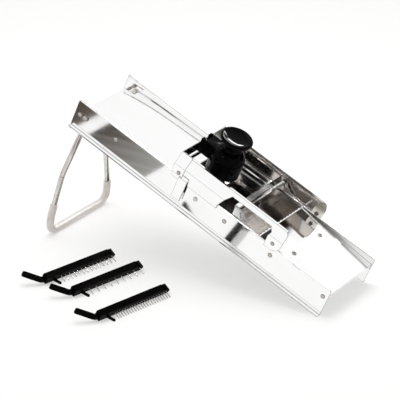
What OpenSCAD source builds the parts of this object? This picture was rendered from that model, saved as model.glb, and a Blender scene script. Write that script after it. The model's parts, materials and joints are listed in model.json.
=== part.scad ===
// Chip slicer on a folding wire stand, with a hand carriage and three loose combs of pins.
// Lengths are in millimetres and angles in degrees.
// The row frame has +X towards the low end, +Y from the near wall to the far wall and +Z up.
// The slicer itself is drawn level in its own frame: s runs up the slope from the low end,
// w runs across from the near wall and z is the height above the underside of the walls.

/* [Body] */
// Length of the side walls along the slope
body_l = 400; // [390:1:420]
// Width over the outer faces of the side walls
body_w = 105.5; // [102:0.5:115]
// Height of the side walls
wall_h = 40; // [38:0.5:44]
// Thickness of the wall sheet
wall_t = 1.2; // [1:0.1:1.6]
// Diameter of the rolled bead along the top of each wall
bead_d = 2.4; // [2:0.1:3]
// Width of the foot flange that turns outwards under each wall
flange_w = 5.4; // [4:0.1:8]
// Radius of the wall corners
wall_corner_r = 3; // [1:0.5:6]
// Slope of the slicer when it stands on its wire stand
slope = 23.7; // [22:0.1:26]
// Distance from the low end to the assembly notch in the wall tops
notch_s = 47; // [40:1:60]
// Length of the assembly notch
notch_l = 10; // [6:1:14]
// Depth of the assembly notch
notch_d = 2.6; // [1:0.1:4]
// Length of the flat ground on each wall's low corner, where it stands on the table
ground_flat_l = 1.6; // [1:0.1:3]

/* [Rods] */
// Diameter of the tie rods
rod_d = 3.6; // [3:0.1:4]
// Diameter of a domed rod head
rod_head_d = 6.3; // [5.6:0.1:7.5]
// Height of a domed rod head
rod_head_h = 2.2; // [1.6:0.1:2.6]
// Radial clearance between a rod and the sheet that it passes through
rod_clear = 0.05; // [0.03:0.01:0.1]
// Distance from the low end to the rod under the low edge of the outlet deck
low_rod_s = 7; // [6:0.5:10]
// Depth of that rod below the wall top
low_rod_n = 13.6; // [13.4:0.1:15]
// Distance from the low end to the rod under the middle of the outlet deck
mid_rod_s = 89; // [85:1:95]
// Depth of that rod below the wall top
mid_rod_n = 12.8; // [11:0.1:14]
// Distance from the low end to the rod in front of the blade
blade_rod_s = 160; // [159.6:0.1:162]
// Depth of that rod below the wall top
blade_rod_n = 14.2; // [13.9:0.1:16]
// Distance from the high end to the rod under the upper part of the inlet deck
high_rod_end = 66; // [60:1:75]
// Depth of that rod below the wall top
high_rod_n = 15; // [14.9:0.1:17]

/* [Outlet deck] */
// Thickness of the deck sheets
deck_t = 1.2; // [1:0.1:1.4]
// Depth of the outlet deck below the wall top at the low end
outlet_low_n = 10.4; // [9.8:0.1:11]
// Fall of the outlet deck towards the low end, as a share of its length
outlet_fall = 0.0655; // [0.06:0.0005:0.068]
// Distance from the low end to the upper edge of the outlet deck
outlet_top_s = 112.6; // [110:0.1:113]
// Distance from the low end to the low edge of the outlet deck
outlet_low_s = 0.9; // [0.5:0.1:2]
// Depth of the outlet deck's side flanges below the wall top
outlet_flange_n = 18; // [17:0.5:22]
// Distance from the low end to the two ring rivets
ring_rivet_s = 70; // [60:1:78]
// Distance from each wall to its ring rivet
ring_rivet_w = 22.8; // [16:0.2:30]
// Outer diameter of a ring rivet's head
ring_rivet_d = 6.4; // [5.4:0.2:8]
// Bore of a ring rivet
ring_rivet_bore = 2.6; // [2:0.2:3]
// Width of the brace that the ring rivets hold under the outlet deck
brace_l = 14; // [12:0.5:18]

/* [Blades] */
// Distance from the low end to the cutting edge of the straight blade
edge_s = 152.4; // [151.6:0.1:153]
// Distance from the low end to the back of the straight blade
blade_back_s = 137; // [134:0.5:139]
// Width of the bevel on the straight blade
bevel_l = 6; // [4:0.5:8]
// Thickness of both blades
blade_t = 1.2; // [1:0.1:1.4]
// Thickness left at the cutting edge
edge_t = 0.15; // [0.1:0.05:0.3]
// Distance from the low end to the tips of the serrated blade
teeth_s = 113.8; // [113.6:0.1:114.4]
// Distance from the low end to the back of the serrated blade
teeth_back_s = 121; // [119:0.5:123]
// Depth of the serrated blade's waves
wave_depth = 1.8; // [1:0.1:2.5]
// Length of one wave along the serrated blade
wave_pitch = 6.8; // [5:0.1:9]
// Thickness of the holder under both blades
holder_t = 2.6; // [2:0.1:3.5]
// Diameter of the blade screws' heads
blade_screw_head_d = 5.6; // [5:0.1:6.5]
// Gap left at each end between the blades and the walls' beads
blade_side_gap = 0.15; // [0.1:0.05:0.5]

/* [Comb channel] */
// Depth of the channel floor below the wall top
channel_n = 21.8; // [21.4:0.1:24]
// Thickness of the channel sheet
channel_t = 0.8; // [0.6:0.1:1]
// Height of the comb slot in the far wall
comb_slot_h = 9.6; // [9.4:0.1:9.8]
// Clearance round a comb in its slot
comb_clear = 0.2; // [0.1:0.05:0.3]

/* [Inlet deck] */
// Distance from the low end to the front edge of the inlet deck
inlet_front_s = 157.8; // [157.4:0.1:158.4]
// Depth of the inlet deck below the wall top at its front edge
inlet_front_n = 7.9; // [7:0.1:8]
// Fall of the flat part of the inlet deck, as a share of its length
inlet_fall = 0.02; // [0.017:0.001:0.021]
// Distance from the high end at which the inlet deck starts to curve down
inlet_bend_end = 70; // [60:1:75]
// Radius of that curve
inlet_bend_r = 780; // [740:10:900]
// Height of the folded lip at the front edge
inlet_lip_h = 3.2; // [2:0.1:3.6]
// Distance from the high end to the hinge rod of the inlet deck
hinge_end = 8; // [7:0.1:9]
// Diameter of the hinge rod
hinge_rod_d = 4; // [3.4:0.1:4.2]
// Gap between the inlet deck and each wall's bead
inlet_side_gap = 0.2; // [0.1:0.05:0.5]
// Clearance between the deck corners and the stand's legs
corner_clear = 1.6; // [1:0.1:3]

/* [Thickness cam] */
// Distance from the low end to the cam shaft
cam_s = 206; // [202:0.5:212]
// Depth of the cam shaft below the wall top
cam_n = 14; // [13.8:0.1:14.6]
// Turn of the cam lever from thick to thin
cam_turn = 80; // [60:1:85]
// Tilt of the inlet deck over that turn
deck_tilt = 1.5; // [1:0.1:1.6]
// Clearance between the cams and the deck
cam_clear = 0.3; // [0.2:0.05:0.5]
// Thickness of each cam
cam_t = 5; // [4:0.5:8]
// Distance from each wall to the middle of its cam
cam_w = 24; // [18:1:34]
// Length of the cam lever from the shaft to the middle of its knob
lever_l = 20; // [16:0.5:21]
// Diameter of the lever's knob
lever_knob_d = 7.6; // [6:0.2:7.8]

/* [Stand] */
// Distance from the high end to the pivot of the stand
pivot_end = 16.7; // [16:0.1:17.5]
// Depth of the stand's pivot below the wall top
pivot_n = 17.2; // [17:0.1:18]
// Diameter of the stand's wire
wire_d = 7; // [6:0.1:7.2]
// Distance from each wall's outer face to the middle of the upper leg
leg_inset = 6.25; // [6.2:0.05:7]
// Lean of the upper legs past the square of the deck
leg_lean = 2.2; // [0:0.1:4]
// Length of the upper legs from the pivot to the bend
upper_leg_l = 102.3; // [95:0.5:106]
// Bend between the upper and the lower legs
leg_bend = 16.5; // [12:0.5:20]
// Length of the splayed part of the lower legs
splay_l = 54; // [45:1:58]
// Distance by which each lower leg splays outwards
splay_w = 14; // [10:0.5:16]
// Bend radius of the bottom corners
foot_bend_r = 13; // [11:0.5:16]
// Bend radius at the out-turned ends
pivot_bend_r = 4.2; // [3.7:0.1:4.5]
// Outer diameter of the clear sleeve
sleeve_d = 9.8; // [9:0.1:11]
// Clearance between the sleeve and the wire
sleeve_clear = 0.05; // [0.03:0.01:0.1]
// Length of the sleeve up the near leg, from the bend
near_sleeve_l = 16; // [6:1:30]
// Length of the sleeve up the far leg, from the bend
far_sleeve_l = 6; // [6:1:20]
// Diameter of the stand's cap at each pivot
pivot_cap_d = 9.5; // [8.5:0.1:11]
// Height of that cap
pivot_cap_h = 2.8; // [2:0.1:3.2]
// Height of the stop lug on each wall
stop_h = 6; // [4:0.5:8]

/* [Carriage] */
// Distance from the low end to the carriage's low end as it stands in use
carriage_s = 80; // [78:0.5:84]
// Length of the carriage's cheeks
carriage_l = 168; // [166:1:172]
// Thickness of the carriage's sheet
sheet_t = 1; // [0.8:0.1:1.2]
// Clearance between a wall and the cheek outside it
cheek_clear = 0.35; // [0.25:0.05:0.5]
// Depth of the cheeks' lower edges below the wall tops
skirt_n = 5; // [4:0.25:6]
// Height of the cheeks' crease above the wall tops
crease_h = 12.8; // [11:0.1:14]
// Height of the cheeks' top edges above the wall tops
cheek_top_h = 26.4; // [25:0.1:28]
// Distance by which the cheeks lean in at the top
cheek_lean = 7.4; // [6:0.1:9]
// Width of the folded lip along the top of each cheek
lip_w = 2.6; // [1.5:0.1:4]
// Radius of the cheeks' low bottom corners
cheek_round_r = 13; // [8:0.5:14]
// Length by which the far cheek stops short of the near one at the low end
far_cheek_short = 5; // [0:0.5:8]
// Height of the top of the window in the near cheek
window_top_h = 20.8; // [18:0.1:22]
// Distance from the low end to the low side of the window
window_low_s = 102; // [100:0.5:106]
// Distance from the low end to the high side of the window
window_high_s = 176.5; // [172:0.5:180]
// Run of the window's slanted high side
window_slant = 12; // [6:0.5:16]
// Height of the end plate above the wall tops
end_plate_h = 28; // [27.5:0.1:30]
// Length of the end plate's side flanges
end_flange_l = 15.5; // [13:0.5:17]
// Height of the slot in the end plate
end_slot_h = 5.6; // [5.4:0.1:6]
// Width of the slot in the end plate
end_slot_w = 49.5; // [44:0.5:56]
// Height of the slot's lower side above the wall tops
end_slot_z = 7.8; // [7:0.1:8.4]
// Clearance between the moving carriage and the wall tops
ride_clear = 0.2; // [0.1:0.05:0.4]
// Distance from the low end to the middle of the bridge
bridge_s = 153; // [150:0.5:156]
// Width of the bridge
bridge_l = 6; // [5:0.5:8]
// Height of the bridge's top above the wall tops
bridge_top_h = 16; // [15:0.1:18]
// Depth of the bridge's folded edges
bridge_edge_h = 3; // [2:0.1:4]
// Length of a bridge foot along the wall
foot_l = 26; // [20:1:30]
// Length of a slide runner
runner_l = 14; // [10:0.5:16]
// Height of a slide runner
runner_h = 8.4; // [7:0.1:10]
// Width of a slide runner
runner_w = 4.4; // [3.6:0.1:6]
// Diameter of the runner bolts
runner_bolt_d = 3; // [2.5:0.1:3.4]
// Width of the tab that hangs outside each wall
tab_l = 13; // [10:0.5:16]
// Depth of the tab's lower edge below the wall top
tab_n = 29; // [24:0.5:32]
// Gap between a wall and its tab, which clears the rod heads
tab_gap = 3.1; // [2.9:0.1:4]

/* [Pusher] */
// Distance from the low end to the pusher's axis as the carriage stands in use
pusher_s = 210; // [207:0.5:212]
// Diameter of the pusher's body
pusher_d = 43; // [38:0.5:46]
// Height of the pusher's underside above the wall tops
pusher_z = 4.6; // [4.6:0.1:7]
// Height of the pusher's straight side
pusher_side_h = 21; // [18:0.5:26]
// Height of the pusher's domed shoulder
shoulder_h = 14; // [8:0.5:18]
// Radius of the pusher's neck
neck_r = 9; // [7:0.25:11]
// Height of the neck above the shoulder
neck_h = 5.4; // [2:0.2:8]
// Diameter of the knob
knob_d = 42; // [36:0.5:46]
// Height of the knob
knob_h = 15; // [12:0.5:18]
// Depth of the dish in the knob's top
dish_d = 2.2; // [1:0.1:3]
// Length of the food pins
pin_l = 4; // [3:0.1:4.2]
// Diameter of the food pins
pin_d = 1.8; // [1.2:0.1:2.4]
// Width of the arm at the pusher's back
arm_w = 22; // [20:0.5:26]
// Width of the guide rail that the arm slides on
rail_w = 14; // [12:0.5:16]
// Thickness of the guide rail's face
rail_t = 1.6; // [1.2:0.1:2]
// Clearance between the arm and the guide rail
rail_clear = 0.3; // [0.2:0.05:0.4]

/* [Combs] */
// Length of a comb's bar
comb_l = 110; // [108:1:114]
// Thickness of a comb's bar, along its pins
comb_t = 9; // [8:0.1:9.1]
// Height of a comb's bar
comb_h = 10.4; // [9.6:0.1:10.6]
// Length of a comb's pins outside the bar
comb_pin_l = 10.6; // [10:0.1:11.6]
// Diameter of a comb's pins
comb_pin_d = 1.1; // [0.8:0.05:1.4]
// Lean of a comb that lies on its pins
comb_lean = 30; // [26:0.5:32]
// Direction of the bars on the table
comb_turn = 76.2; // [72:0.2:80]
// Length of a comb's handle
comb_handle_l = 26; // [22:0.5:30]
// Width of a comb's handle
comb_handle_w = 5.2; // [4:0.1:5.6]
// Height of a comb's handle
comb_handle_h = 5.6; // [4:0.1:7]
// Bend of a comb's handle
comb_handle_bend = 46; // [20:1:60]
// Length of the spur that rests on the table beside a comb's first pin
comb_spur_l = 13; // [8:0.5:15]
// Number of pins on the first comb
comb_1_pins = 14; // [12:1:16]
// Number of pins on the second comb
comb_2_pins = 9; // [8:1:11]
// Number of pins on the third comb
comb_3_pins = 22; // [18:1:24]
// Place of the first comb along the table, from the slicer's low end
comb_1_x = -319.9; // [-322:0.1:-316]
// Place of the first comb across the table, from the near wall
comb_1_y = -118.8; // [-124:0.1:-118.8]
// Place of the second comb along the table, from the slicer's low end
comb_2_x = -271.3; // [-275:0.1:-268]
// Place of the second comb across the table, from the near wall
comb_2_y = -126.3; // [-132:0.1:-124]
// Place of the third comb along the table, from the slicer's low end
comb_3_x = -208.4; // [-214:0.1:-204]
// Place of the third comb across the table, from the near wall
comb_3_y = -159.6; // [-166:0.1:-156]

/* [Hidden] */
$fn = 48;
big = 300;
steel = [0.86, 0.87, 0.88];
dark_steel = [0.62, 0.63, 0.65];
black_plastic = [0.06, 0.06, 0.07];

// What stands near the high end is placed from it
high_rod_s = body_l - high_rod_end;
inlet_bend_s = body_l - inlet_bend_end;
hinge_s = body_l - hinge_end;
pivot_s = body_l - pivot_end;

// Heights above the wall's underside of what is given as a depth below the wall top
function up(n) = wall_h - n;
// Depth of the two decks' upper faces below the wall top
function outlet_n(s) = outlet_low_n - outlet_fall * s;
function past_bend(s) = max(0, s - inlet_bend_s);
function inlet_n(s) =
  inlet_front_n + inlet_fall * (s - inlet_front_s) + pow(past_bend(s), 2) / (2 * inlet_bend_r);

// Size of a ball at a corner of the wire, as a share of the wire
ball_share = 1.06;
knuckle_r = hinge_rod_d / 2 + rod_clear + deck_t;
hinge_n = inlet_n(hinge_s) + knuckle_r;
mid_w = body_w / 2;
inner_w = body_w - 2 * wall_t;
rail_web_w = rail_w - 6;
rod_hole_d = rod_d + 2 * rod_clear;

// Height by which the slicer sits lower because of the flats on its low corners
ground_drop = ground_flat_l * sin(slope);

// A point of the slicer's own frame, given as s, w and z, in the row frame before it is centred
function slicer_point(s, w, z) = [
  z * sin(slope) - s * cos(slope), w, s * sin(slope) + z * cos(slope) - ground_drop
];

// The stand's bends, in the row frame before it is centred
pivot = slicer_point(pivot_s, 0, up(pivot_n));
upper_dir = [-sin(slope + leg_lean), 0, -cos(slope + leg_lean)];
lower_dir = [-sin(slope + leg_lean - leg_bend), 0, -cos(slope + leg_lean - leg_bend)];
kink = pivot + upper_leg_l * upper_dir;
splayed = kink + splay_l * lower_dir;
lower_l = (kink[2] - sleeve_d / 2) / -lower_dir[2];
foot = kink + lower_l * lower_dir;
function across(p, w) = [p[0], w, p[2]];
near_leg_w = leg_inset;
far_leg_w = body_w - leg_inset;
stand_points = [
  across(pivot, -pivot_cap_h / 2), across(pivot, near_leg_w), across(kink, near_leg_w),
  across(splayed, near_leg_w - splay_w), across(foot, near_leg_w - splay_w),
  across(foot, far_leg_w + splay_w), across(splayed, far_leg_w + splay_w), across(kink, far_leg_w),
  across(pivot, far_leg_w), across(pivot, body_w + pivot_cap_h / 2)
];
stand_radii = [0, pivot_bend_r, 0, 0, foot_bend_r, foot_bend_r, 0, 0, pivot_bend_r, 0];

// The combs on the table
comb_pin_z = comb_pin_l * tan(comb_lean) + comb_pin_d / 2;
comb_places = [[comb_1_x, comb_1_y, 0], [comb_2_x, comb_2_y, 0], [comb_3_x, comb_3_y, 0]];
function turned(p) = [
  p[0] * cos(comb_turn) - p[1] * sin(comb_turn), p[0] * sin(comb_turn) + p[1] * cos(comb_turn), p[2]
];
function leaned(p) = [
  p[0], p[1] * cos(comb_lean) - p[2] * sin(comb_lean), p[1] * sin(comb_lean) + p[2] * cos(comb_lean)
];
handle_bend_r = 8;
handle_low_z = 1.6;
handle_elbow = [-handle_bend_r * tan(comb_handle_bend / 2), comb_t / 2, handle_low_z];
handle_dir = [-cos(comb_handle_bend), sin(comb_handle_bend), 0];
handle_tip = handle_elbow + (comb_handle_l - comb_handle_w / 2) * handle_dir;

// The row's origin is under the middle of the whole set, on the table
x_low = foot[0] - sleeve_d / 2;
x_high = slicer_point(wall_corner_r, 0, wall_h - wall_corner_r)[0] + wall_corner_r;
tip_reach = comb_handle_w / 2 * sqrt(pow(sin(comb_turn), 2) + pow(cos(comb_lean) * cos(comb_turn), 2));
y_low = (comb_places[2] + turned(leaned(handle_tip + [0, 0, comb_handle_h])))[1] - tip_reach;
y_high = far_leg_w + splay_w + ball_share * sleeve_d / 2;
centre = [(x_low + x_high) / 2, (y_low + y_high) / 2, 0];

function unit(v) = v / norm(v);

// Moves what is drawn in the slicer's own frame to the row frame
module on_slope() {
  translate([-centre[0], -centre[1], -ground_drop])
    rotate([0, slope, 0])
      children();
}

// Moves what is drawn on the table, before it is centred, to the row frame
module on_table() {
  translate(-centre)
    children();
}

// Pulls an outline given as w and z along the slicer, from s0 to s1
module run(s0, s1) {
  translate([-s1, 0, 0])
    rotate([90, 0, 90])
      linear_extrude(s1 - s0)
        children();
}

// Thickens an outline given as s and z across the slicer, from w0 to w1
module side(w0, w1) {
  translate([0, w1, 0])
    rotate([90, 0, 0])
      linear_extrude(w1 - w0)
        mirror([1, 0])
          children();
}

// Thickens an outline given as s and w upwards, from z0 to z1
module plan(z0, z1) {
  translate([0, 0, z0])
    linear_extrude(z1 - z0)
      mirror([1, 0])
        children();
}

// A block between two corners given as s, w and z
module block(a, b) {
  translate([-b[0], a[1], a[2]])
    cube([b[0] - a[0], b[1] - a[1], b[2] - a[2]]);
}

// A round bar across the slicer, at s and z, from w0 to w1
module cross_rod(s, z, w0, w1, d) {
  translate([-s, w0, z])
    rotate([-90, 0, 0])
      cylinder(h = w1 - w0, d = d);
}

// A domed head that stands out of the near wall's outer face by its height
module dome(s, z, d, h) {
  ball_r = (d * d / 4 + h * h) / (2 * h);
  intersection() {
    translate([-s, ball_r - h, z])
      rotate([90, 0, 0])
        sphere(r = ball_r, $fn = 64);
    cross_rod(s, z, -h, 0, d + 1);
  }
}

// The same thing at the far wall, mirrored across the slicer's middle
module far_side() {
  translate([0, body_w, 0])
    mirror([0, 1, 0])
      children();
}

module both_sides() {
  children();
  far_side()
    children();
}

// A rod through both walls with a domed head outside each
module headed_rod(s, z, d, stand_off = 0) {
  cross_rod(s, z, -stand_off, body_w + stand_off, d);
  both_sides()
    translate([0, -stand_off, 0])
      dome(s, z, rod_head_d, rod_head_h);
}

// The waste outside a rounded corner of a side outline, at the corner s and z, turned by quarter turns
module corner_waste(s, z, r, turn) {
  translate([s, z])
    rotate(turn)
      difference() {
        translate([-1, -1])
          square(r + 1);
        translate([r, r])
          circle(r);
      }
}

// Cross-section of a wall: web, rolled top bead and foot flange
module wall_section() {
  translate([0, wall_t / 2])
    square([wall_t, wall_h - bead_d / 2 - wall_t / 2]);
  translate([bead_d / 2, wall_h - bead_d / 2])
    circle(d = bead_d);
  translate([-flange_w, 0])
    square([flange_w + wall_t, wall_t]);
}

// What is common to both walls, drawn as the near wall
module wall_blank() {
  difference() {
    run(0, body_l)
      wall_section();
    side(-flange_w - 1, bead_d + 1) {
      corner_waste(0, wall_h, wall_corner_r, -90);
      corner_waste(body_l, wall_h, wall_corner_r, 180);
      corner_waste(body_l, 0, wall_corner_r, 90);
      translate([notch_s, wall_h - notch_d])
        square([notch_l, notch_d + 1]);
      ground_waste();
    }
    for (rod = fixed_rods)
      cross_rod(rod[0], up(rod[1]), -1, bead_d + 1, rod_hole_d);
    cross_rod(cam_s, up(cam_n), -1, bead_d + 1, rod_hole_d);
    cross_rod(hinge_s, up(hinge_n), -1, bead_d + 1, hinge_rod_d + 2 * rod_clear);
    cross_rod(pivot_s, up(pivot_n), -1, bead_d + 1, wire_d + 2 * rod_clear);
  }
}

fixed_rods = [
  [low_rod_s, low_rod_n], [mid_rod_s, mid_rod_n], [blade_rod_s, blade_rod_n], [high_rod_s, high_rod_n]
];

// The sliver ground off the low corner so that the wall stands flat on the table
module ground_waste() {
  flat_z = ground_flat_l * tan(slope);
  polygon([[-1, -1], [-1, flat_z + tan(slope)], [0, flat_z], [ground_flat_l, 0], [ground_flat_l, -1]]);
}

module near_wall() {
  color(steel)
    on_slope()
      wall_blank();
}

// The far wall has the slot through which a comb slides in
module far_wall() {
  color(steel)
    on_slope()
      difference() {
        far_side()
          wall_blank();
        block([channel_low_s, inner_w, up(channel_n)],
          [channel_high_s, body_w + 1, up(channel_n) + comb_slot_h]);
      }
}

channel_high_s = blade_rod_s - rod_d / 2 - rod_clear - 0.5;
channel_low_s = channel_high_s - comb_h - 2 * comb_clear;

// Side view of the outlet deck's sheet
module outlet_profile(s0, s1, t) {
  polygon([
    [s0, up(outlet_n(s0))], [s1, up(outlet_n(s1))], [s1, up(outlet_n(s1)) - t], [s0, up(outlet_n(s0)) - t]
  ]);
}

module outlet_deck() {
  color(steel)
    on_slope()
      difference() {
        union() {
          side(wall_t, body_w - wall_t)
            outlet_profile(outlet_low_s, outlet_top_s, deck_t);
          side(wall_t, body_w - wall_t)
            outlet_profile(outlet_low_s, outlet_low_s + deck_t, 3 * deck_t);
          both_sides()
            side(wall_t, wall_t + deck_t)
              polygon([
                [outlet_low_s, up(outlet_n(outlet_low_s)) - deck_t / 2],
                [outlet_top_s, up(outlet_n(outlet_top_s)) - deck_t / 2],
                [outlet_top_s, up(outlet_flange_n)], [outlet_low_s, up(outlet_flange_n)]
              ]);
        }
        for (rod = [fixed_rods[0], fixed_rods[1]])
          cross_rod(rod[0], up(rod[1]), 0, body_w, rod_hole_d);
        at_ring_rivets()
          cylinder(h = big, d = ring_rivet_bore + 1.4, center = true);
      }
}

outlet_angle = atan(outlet_fall);

module at_ring_rivets() {
  for (w = [ring_rivet_w, body_w - ring_rivet_w])
    translate([-ring_rivet_s, w, up(outlet_n(ring_rivet_s))])
      rotate([0, outlet_angle, 0])
        children();
}

// A hat-shaped strip under the outlet deck, from flange to flange
module outlet_brace() {
  brace_t = 1;
  half = brace_l / 2;
  color(dark_steel)
    on_slope()
      difference() {
        side(wall_t + deck_t, body_w - wall_t - deck_t)
          difference() {
            polygon([
              [ring_rivet_s - half, up(outlet_n(ring_rivet_s - half)) - deck_t],
              [ring_rivet_s + half, up(outlet_n(ring_rivet_s + half)) - deck_t],
              [ring_rivet_s + half, up(outlet_flange_n)], [ring_rivet_s - half, up(outlet_flange_n)]
            ]);
            polygon([
              [ring_rivet_s - half + brace_t, up(outlet_n(ring_rivet_s - half + brace_t)) - deck_t - brace_t],
              [ring_rivet_s + half - brace_t, up(outlet_n(ring_rivet_s + half - brace_t)) - deck_t - brace_t],
              [ring_rivet_s + half - brace_t, up(outlet_flange_n) - 1],
              [ring_rivet_s - half + brace_t, up(outlet_flange_n) - 1]
            ]);
          }
        at_ring_rivets()
          cylinder(h = big, d = ring_rivet_bore + 1.4, center = true);
      }
}

// Tubular rivets whose rolled rims show as rings on the deck
module ring_rivets() {
  shank_l = deck_t + 1;
  color(steel)
    on_slope()
      at_ring_rivets()
        difference() {
          union() {
            translate([0, 0, -shank_l])
              cylinder(h = shank_l, d = ring_rivet_bore + 1.4);
            rim();
            translate([0, 0, -shank_l])
              mirror([0, 0, 1])
                rim();
          }
          cylinder(h = big, d = ring_rivet_bore, center = true);
        }
}

module rim() {
  rim_h = 0.8;
  rotate_extrude()
    polygon([[0, 0], [ring_rivet_d / 2, 0],
      [ring_rivet_d / 2 - 0.3, rim_h * 0.7], [ring_rivet_d / 2 - 1, rim_h],
      [0, rim_h]]);
}

module tie_rods() {
  color(steel)
    on_slope()
      for (rod = fixed_rods)
        headed_rod(rod[0], up(rod[1]), rod_d);
}

module deck_hinge_rod() {
  color(steel)
    on_slope()
      headed_rod(hinge_s, up(hinge_n), hinge_rod_d);
}

blade_w0 = bead_d + blade_side_gap;
blade_w1 = body_w - bead_d - blade_side_gap;
holder_low_s = teeth_back_s - 4;
holder_high_s = edge_s - bevel_l + 1;

// Side view of a plate under the plane of the outlet deck, from depth d0 to depth d1 below that plane
module plate_profile(s0, s1, d0, d1) {
  polygon([
    [s0, up(outlet_n(s0)) - d0], [s1, up(outlet_n(s1)) - d0], [s1, up(outlet_n(s1)) - d1],
    [s0, up(outlet_n(s0)) - d1]
  ]);
}

blade_screw_ws = [for (i = [0 : 3]) body_w * (1 + 2 * i) / 8];

module at_blade_screws() {
  for (s = [teeth_back_s - 2.2, blade_back_s + 5], w = blade_screw_ws)
    translate([-s, w, up(outlet_n(s)) - blade_t - holder_t])
      rotate([0, outlet_angle, 0])
        children();
}

blade_screw_d = 3;
blade_screw_bite = 0.9;

module blade_screw_holes() {
  at_blade_screws()
    translate([0, 0, -1])
      cylinder(h = 1 + holder_t + blade_screw_bite, d = blade_screw_d);
}

module blade_holder() {
  color(dark_steel)
    on_slope()
      difference() {
        side(blade_w0, blade_w1)
          plate_profile(holder_low_s, holder_high_s, blade_t, blade_t + holder_t);
        blade_screw_holes();
      }
}

module blade_clamp() {
  color(steel)
    on_slope()
      side(blade_w0, blade_w1)
        plate_profile(teeth_back_s, blade_back_s, 0, blade_t);
}

module straight_blade() {
  bevel_s = edge_s - bevel_l;
  color(steel)
    on_slope()
      difference() {
        side(blade_w0, blade_w1)
          polygon([
            [blade_back_s, up(outlet_n(blade_back_s))], [bevel_s, up(outlet_n(bevel_s))],
            [edge_s, up(outlet_n(edge_s)) - blade_t + edge_t], [edge_s, up(outlet_n(edge_s)) - blade_t],
            [blade_back_s, up(outlet_n(blade_back_s)) - blade_t]
          ]);
        blade_screw_holes();
      }
}

// The serrated blade's waves run along its low edge
wave_steps = 8;
wave_count = floor((blade_w1 - blade_w0) / wave_pitch);
wave_points = [
  for (i = [0 : wave_count * wave_steps])
    let (w = (blade_w0 + blade_w1 - wave_count * wave_pitch) / 2 + i * wave_pitch / wave_steps)
      [teeth_s + wave_depth * (1 - cos(i * 360 / wave_steps)) / 2, w]
];

module serrated_blade() {
  color(steel)
    on_slope()
      difference() {
        intersection() {
          side(blade_w0, blade_w1)
            plate_profile(teeth_s - 1, teeth_back_s, 0, blade_t);
          plan(0, wall_h + 1)
            polygon(concat(
              [[teeth_back_s, blade_w0], [teeth_s, blade_w0]], wave_points,
              [[teeth_s, blade_w1], [teeth_back_s, blade_w1]]
            ));
        }
        blade_screw_holes();
      }
}

module blade_screws() {
  head_h = 1.6;
  color(steel)
    on_slope()
      at_blade_screws()
        union() {
          cylinder(h = holder_t + blade_screw_bite, d = blade_screw_d);
          translate([0, 0, -head_h])
            cylinder(h = head_h, d = blade_screw_head_d);
        }
}

// Angles inside the walls that carry the blade holder
module blade_ledges() {
  ledge_t = 1.2;
  ledge_w = 5;
  ledge_depth = blade_t + holder_t;
  color(steel)
    on_slope()
      both_sides() {
        side(wall_t, wall_t + ledge_w)
          plate_profile(holder_low_s + 2, holder_high_s - 2, ledge_depth, ledge_depth + ledge_t);
        side(wall_t, wall_t + ledge_t)
          plate_profile(holder_low_s + 2, holder_high_s - 2, ledge_depth, ledge_depth + ledge_w);
      }
}

// A folded strip under the throat, which carries a comb; the blade rod is its upper guide
module comb_channel() {
  color(dark_steel)
    on_slope()
      side(wall_t, body_w - wall_t)
        polygon([
          [channel_low_s - channel_t, up(channel_n) + comb_slot_h],
          [channel_low_s, up(channel_n) + comb_slot_h],
          [channel_low_s, up(channel_n)], [channel_high_s, up(channel_n)],
          [channel_high_s, up(channel_n) - channel_t],
          [channel_low_s - channel_t, up(channel_n) - channel_t]
        ]);
}

// Lugs inside the walls that stop the legs
module stand_stops() {
  stop_l = 3.6;
  stop_n = 27;
  stop_clear = 0.1;
  leg_face_s = pivot_s + (stop_n + stop_h - pivot_n) * tan(leg_lean) + wire_d / 2 / cos(leg_lean);
  color(steel)
    on_slope()
      both_sides()
        block([leg_face_s + stop_clear, wall_t, up(stop_n + stop_h)],
          [leg_face_s + stop_clear + stop_l, leg_inset + 2, up(stop_n)]);
}

inlet_steps = 12;

// Side view of the inlet deck: flat run, long curve and folded front lip
module inlet_profile() {
  curve_s = [for (i = [0 : inlet_steps]) inlet_bend_s + i * (hinge_s - inlet_bend_s) / inlet_steps];
  polygon(concat(
    [[inlet_front_s, up(inlet_front_n)]],
    [for (s = curve_s) [s, up(inlet_n(s))]],
    [for (i = [inlet_steps : -1 : 0]) [curve_s[i], up(inlet_n(curve_s[i])) - deck_t]],
    [[inlet_front_s + deck_t, up(inlet_n(inlet_front_s + deck_t)) - deck_t],
      [inlet_front_s + deck_t, up(inlet_front_n) - inlet_lip_h],
      [inlet_front_s, up(inlet_front_n) - inlet_lip_h]]
  ));
}

// The inlet deck, rolled round its hinge rod at the upper end and cut back round the stand's legs
module inlet_deck() {
  w0 = bead_d + inlet_side_gap;
  corner_w = leg_inset + wire_d / 2 + corner_clear;
  corner_s = pivot_s - wire_d / 2 - corner_clear;
  color(steel)
    on_slope()
      difference() {
        union() {
          side(w0, body_w - w0)
            inlet_profile();
          cross_rod(hinge_s, up(hinge_n), w0, body_w - w0, 2 * knuckle_r);
        }
        cross_rod(hinge_s, up(hinge_n), 0, body_w, hinge_rod_d + 2 * rod_clear);
        both_sides()
          block([corner_s, 0, 0], [body_l + 1, corner_w, wall_h]);
      }
}

// Lift of the deck over the cam shaft per degree of lever, and the cam's height at rest
cam_lift = (hinge_s - cam_s) * tan(deck_tilt) / cam_turn;
cam_rest_h = cam_n - inlet_n(cam_s) - deck_t - cam_clear;
cam_slope = cam_lift * 180 / PI;

// A flat face rides on this outline at a height that grows evenly with the turn
function cam_point(a) =
  let (h = cam_rest_h + cam_lift * a)
    [h * sin(a) + cam_slope * cos(a), h * cos(a) - cam_slope * sin(a)];

cam_hub_d = rod_d + 2.2;

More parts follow.
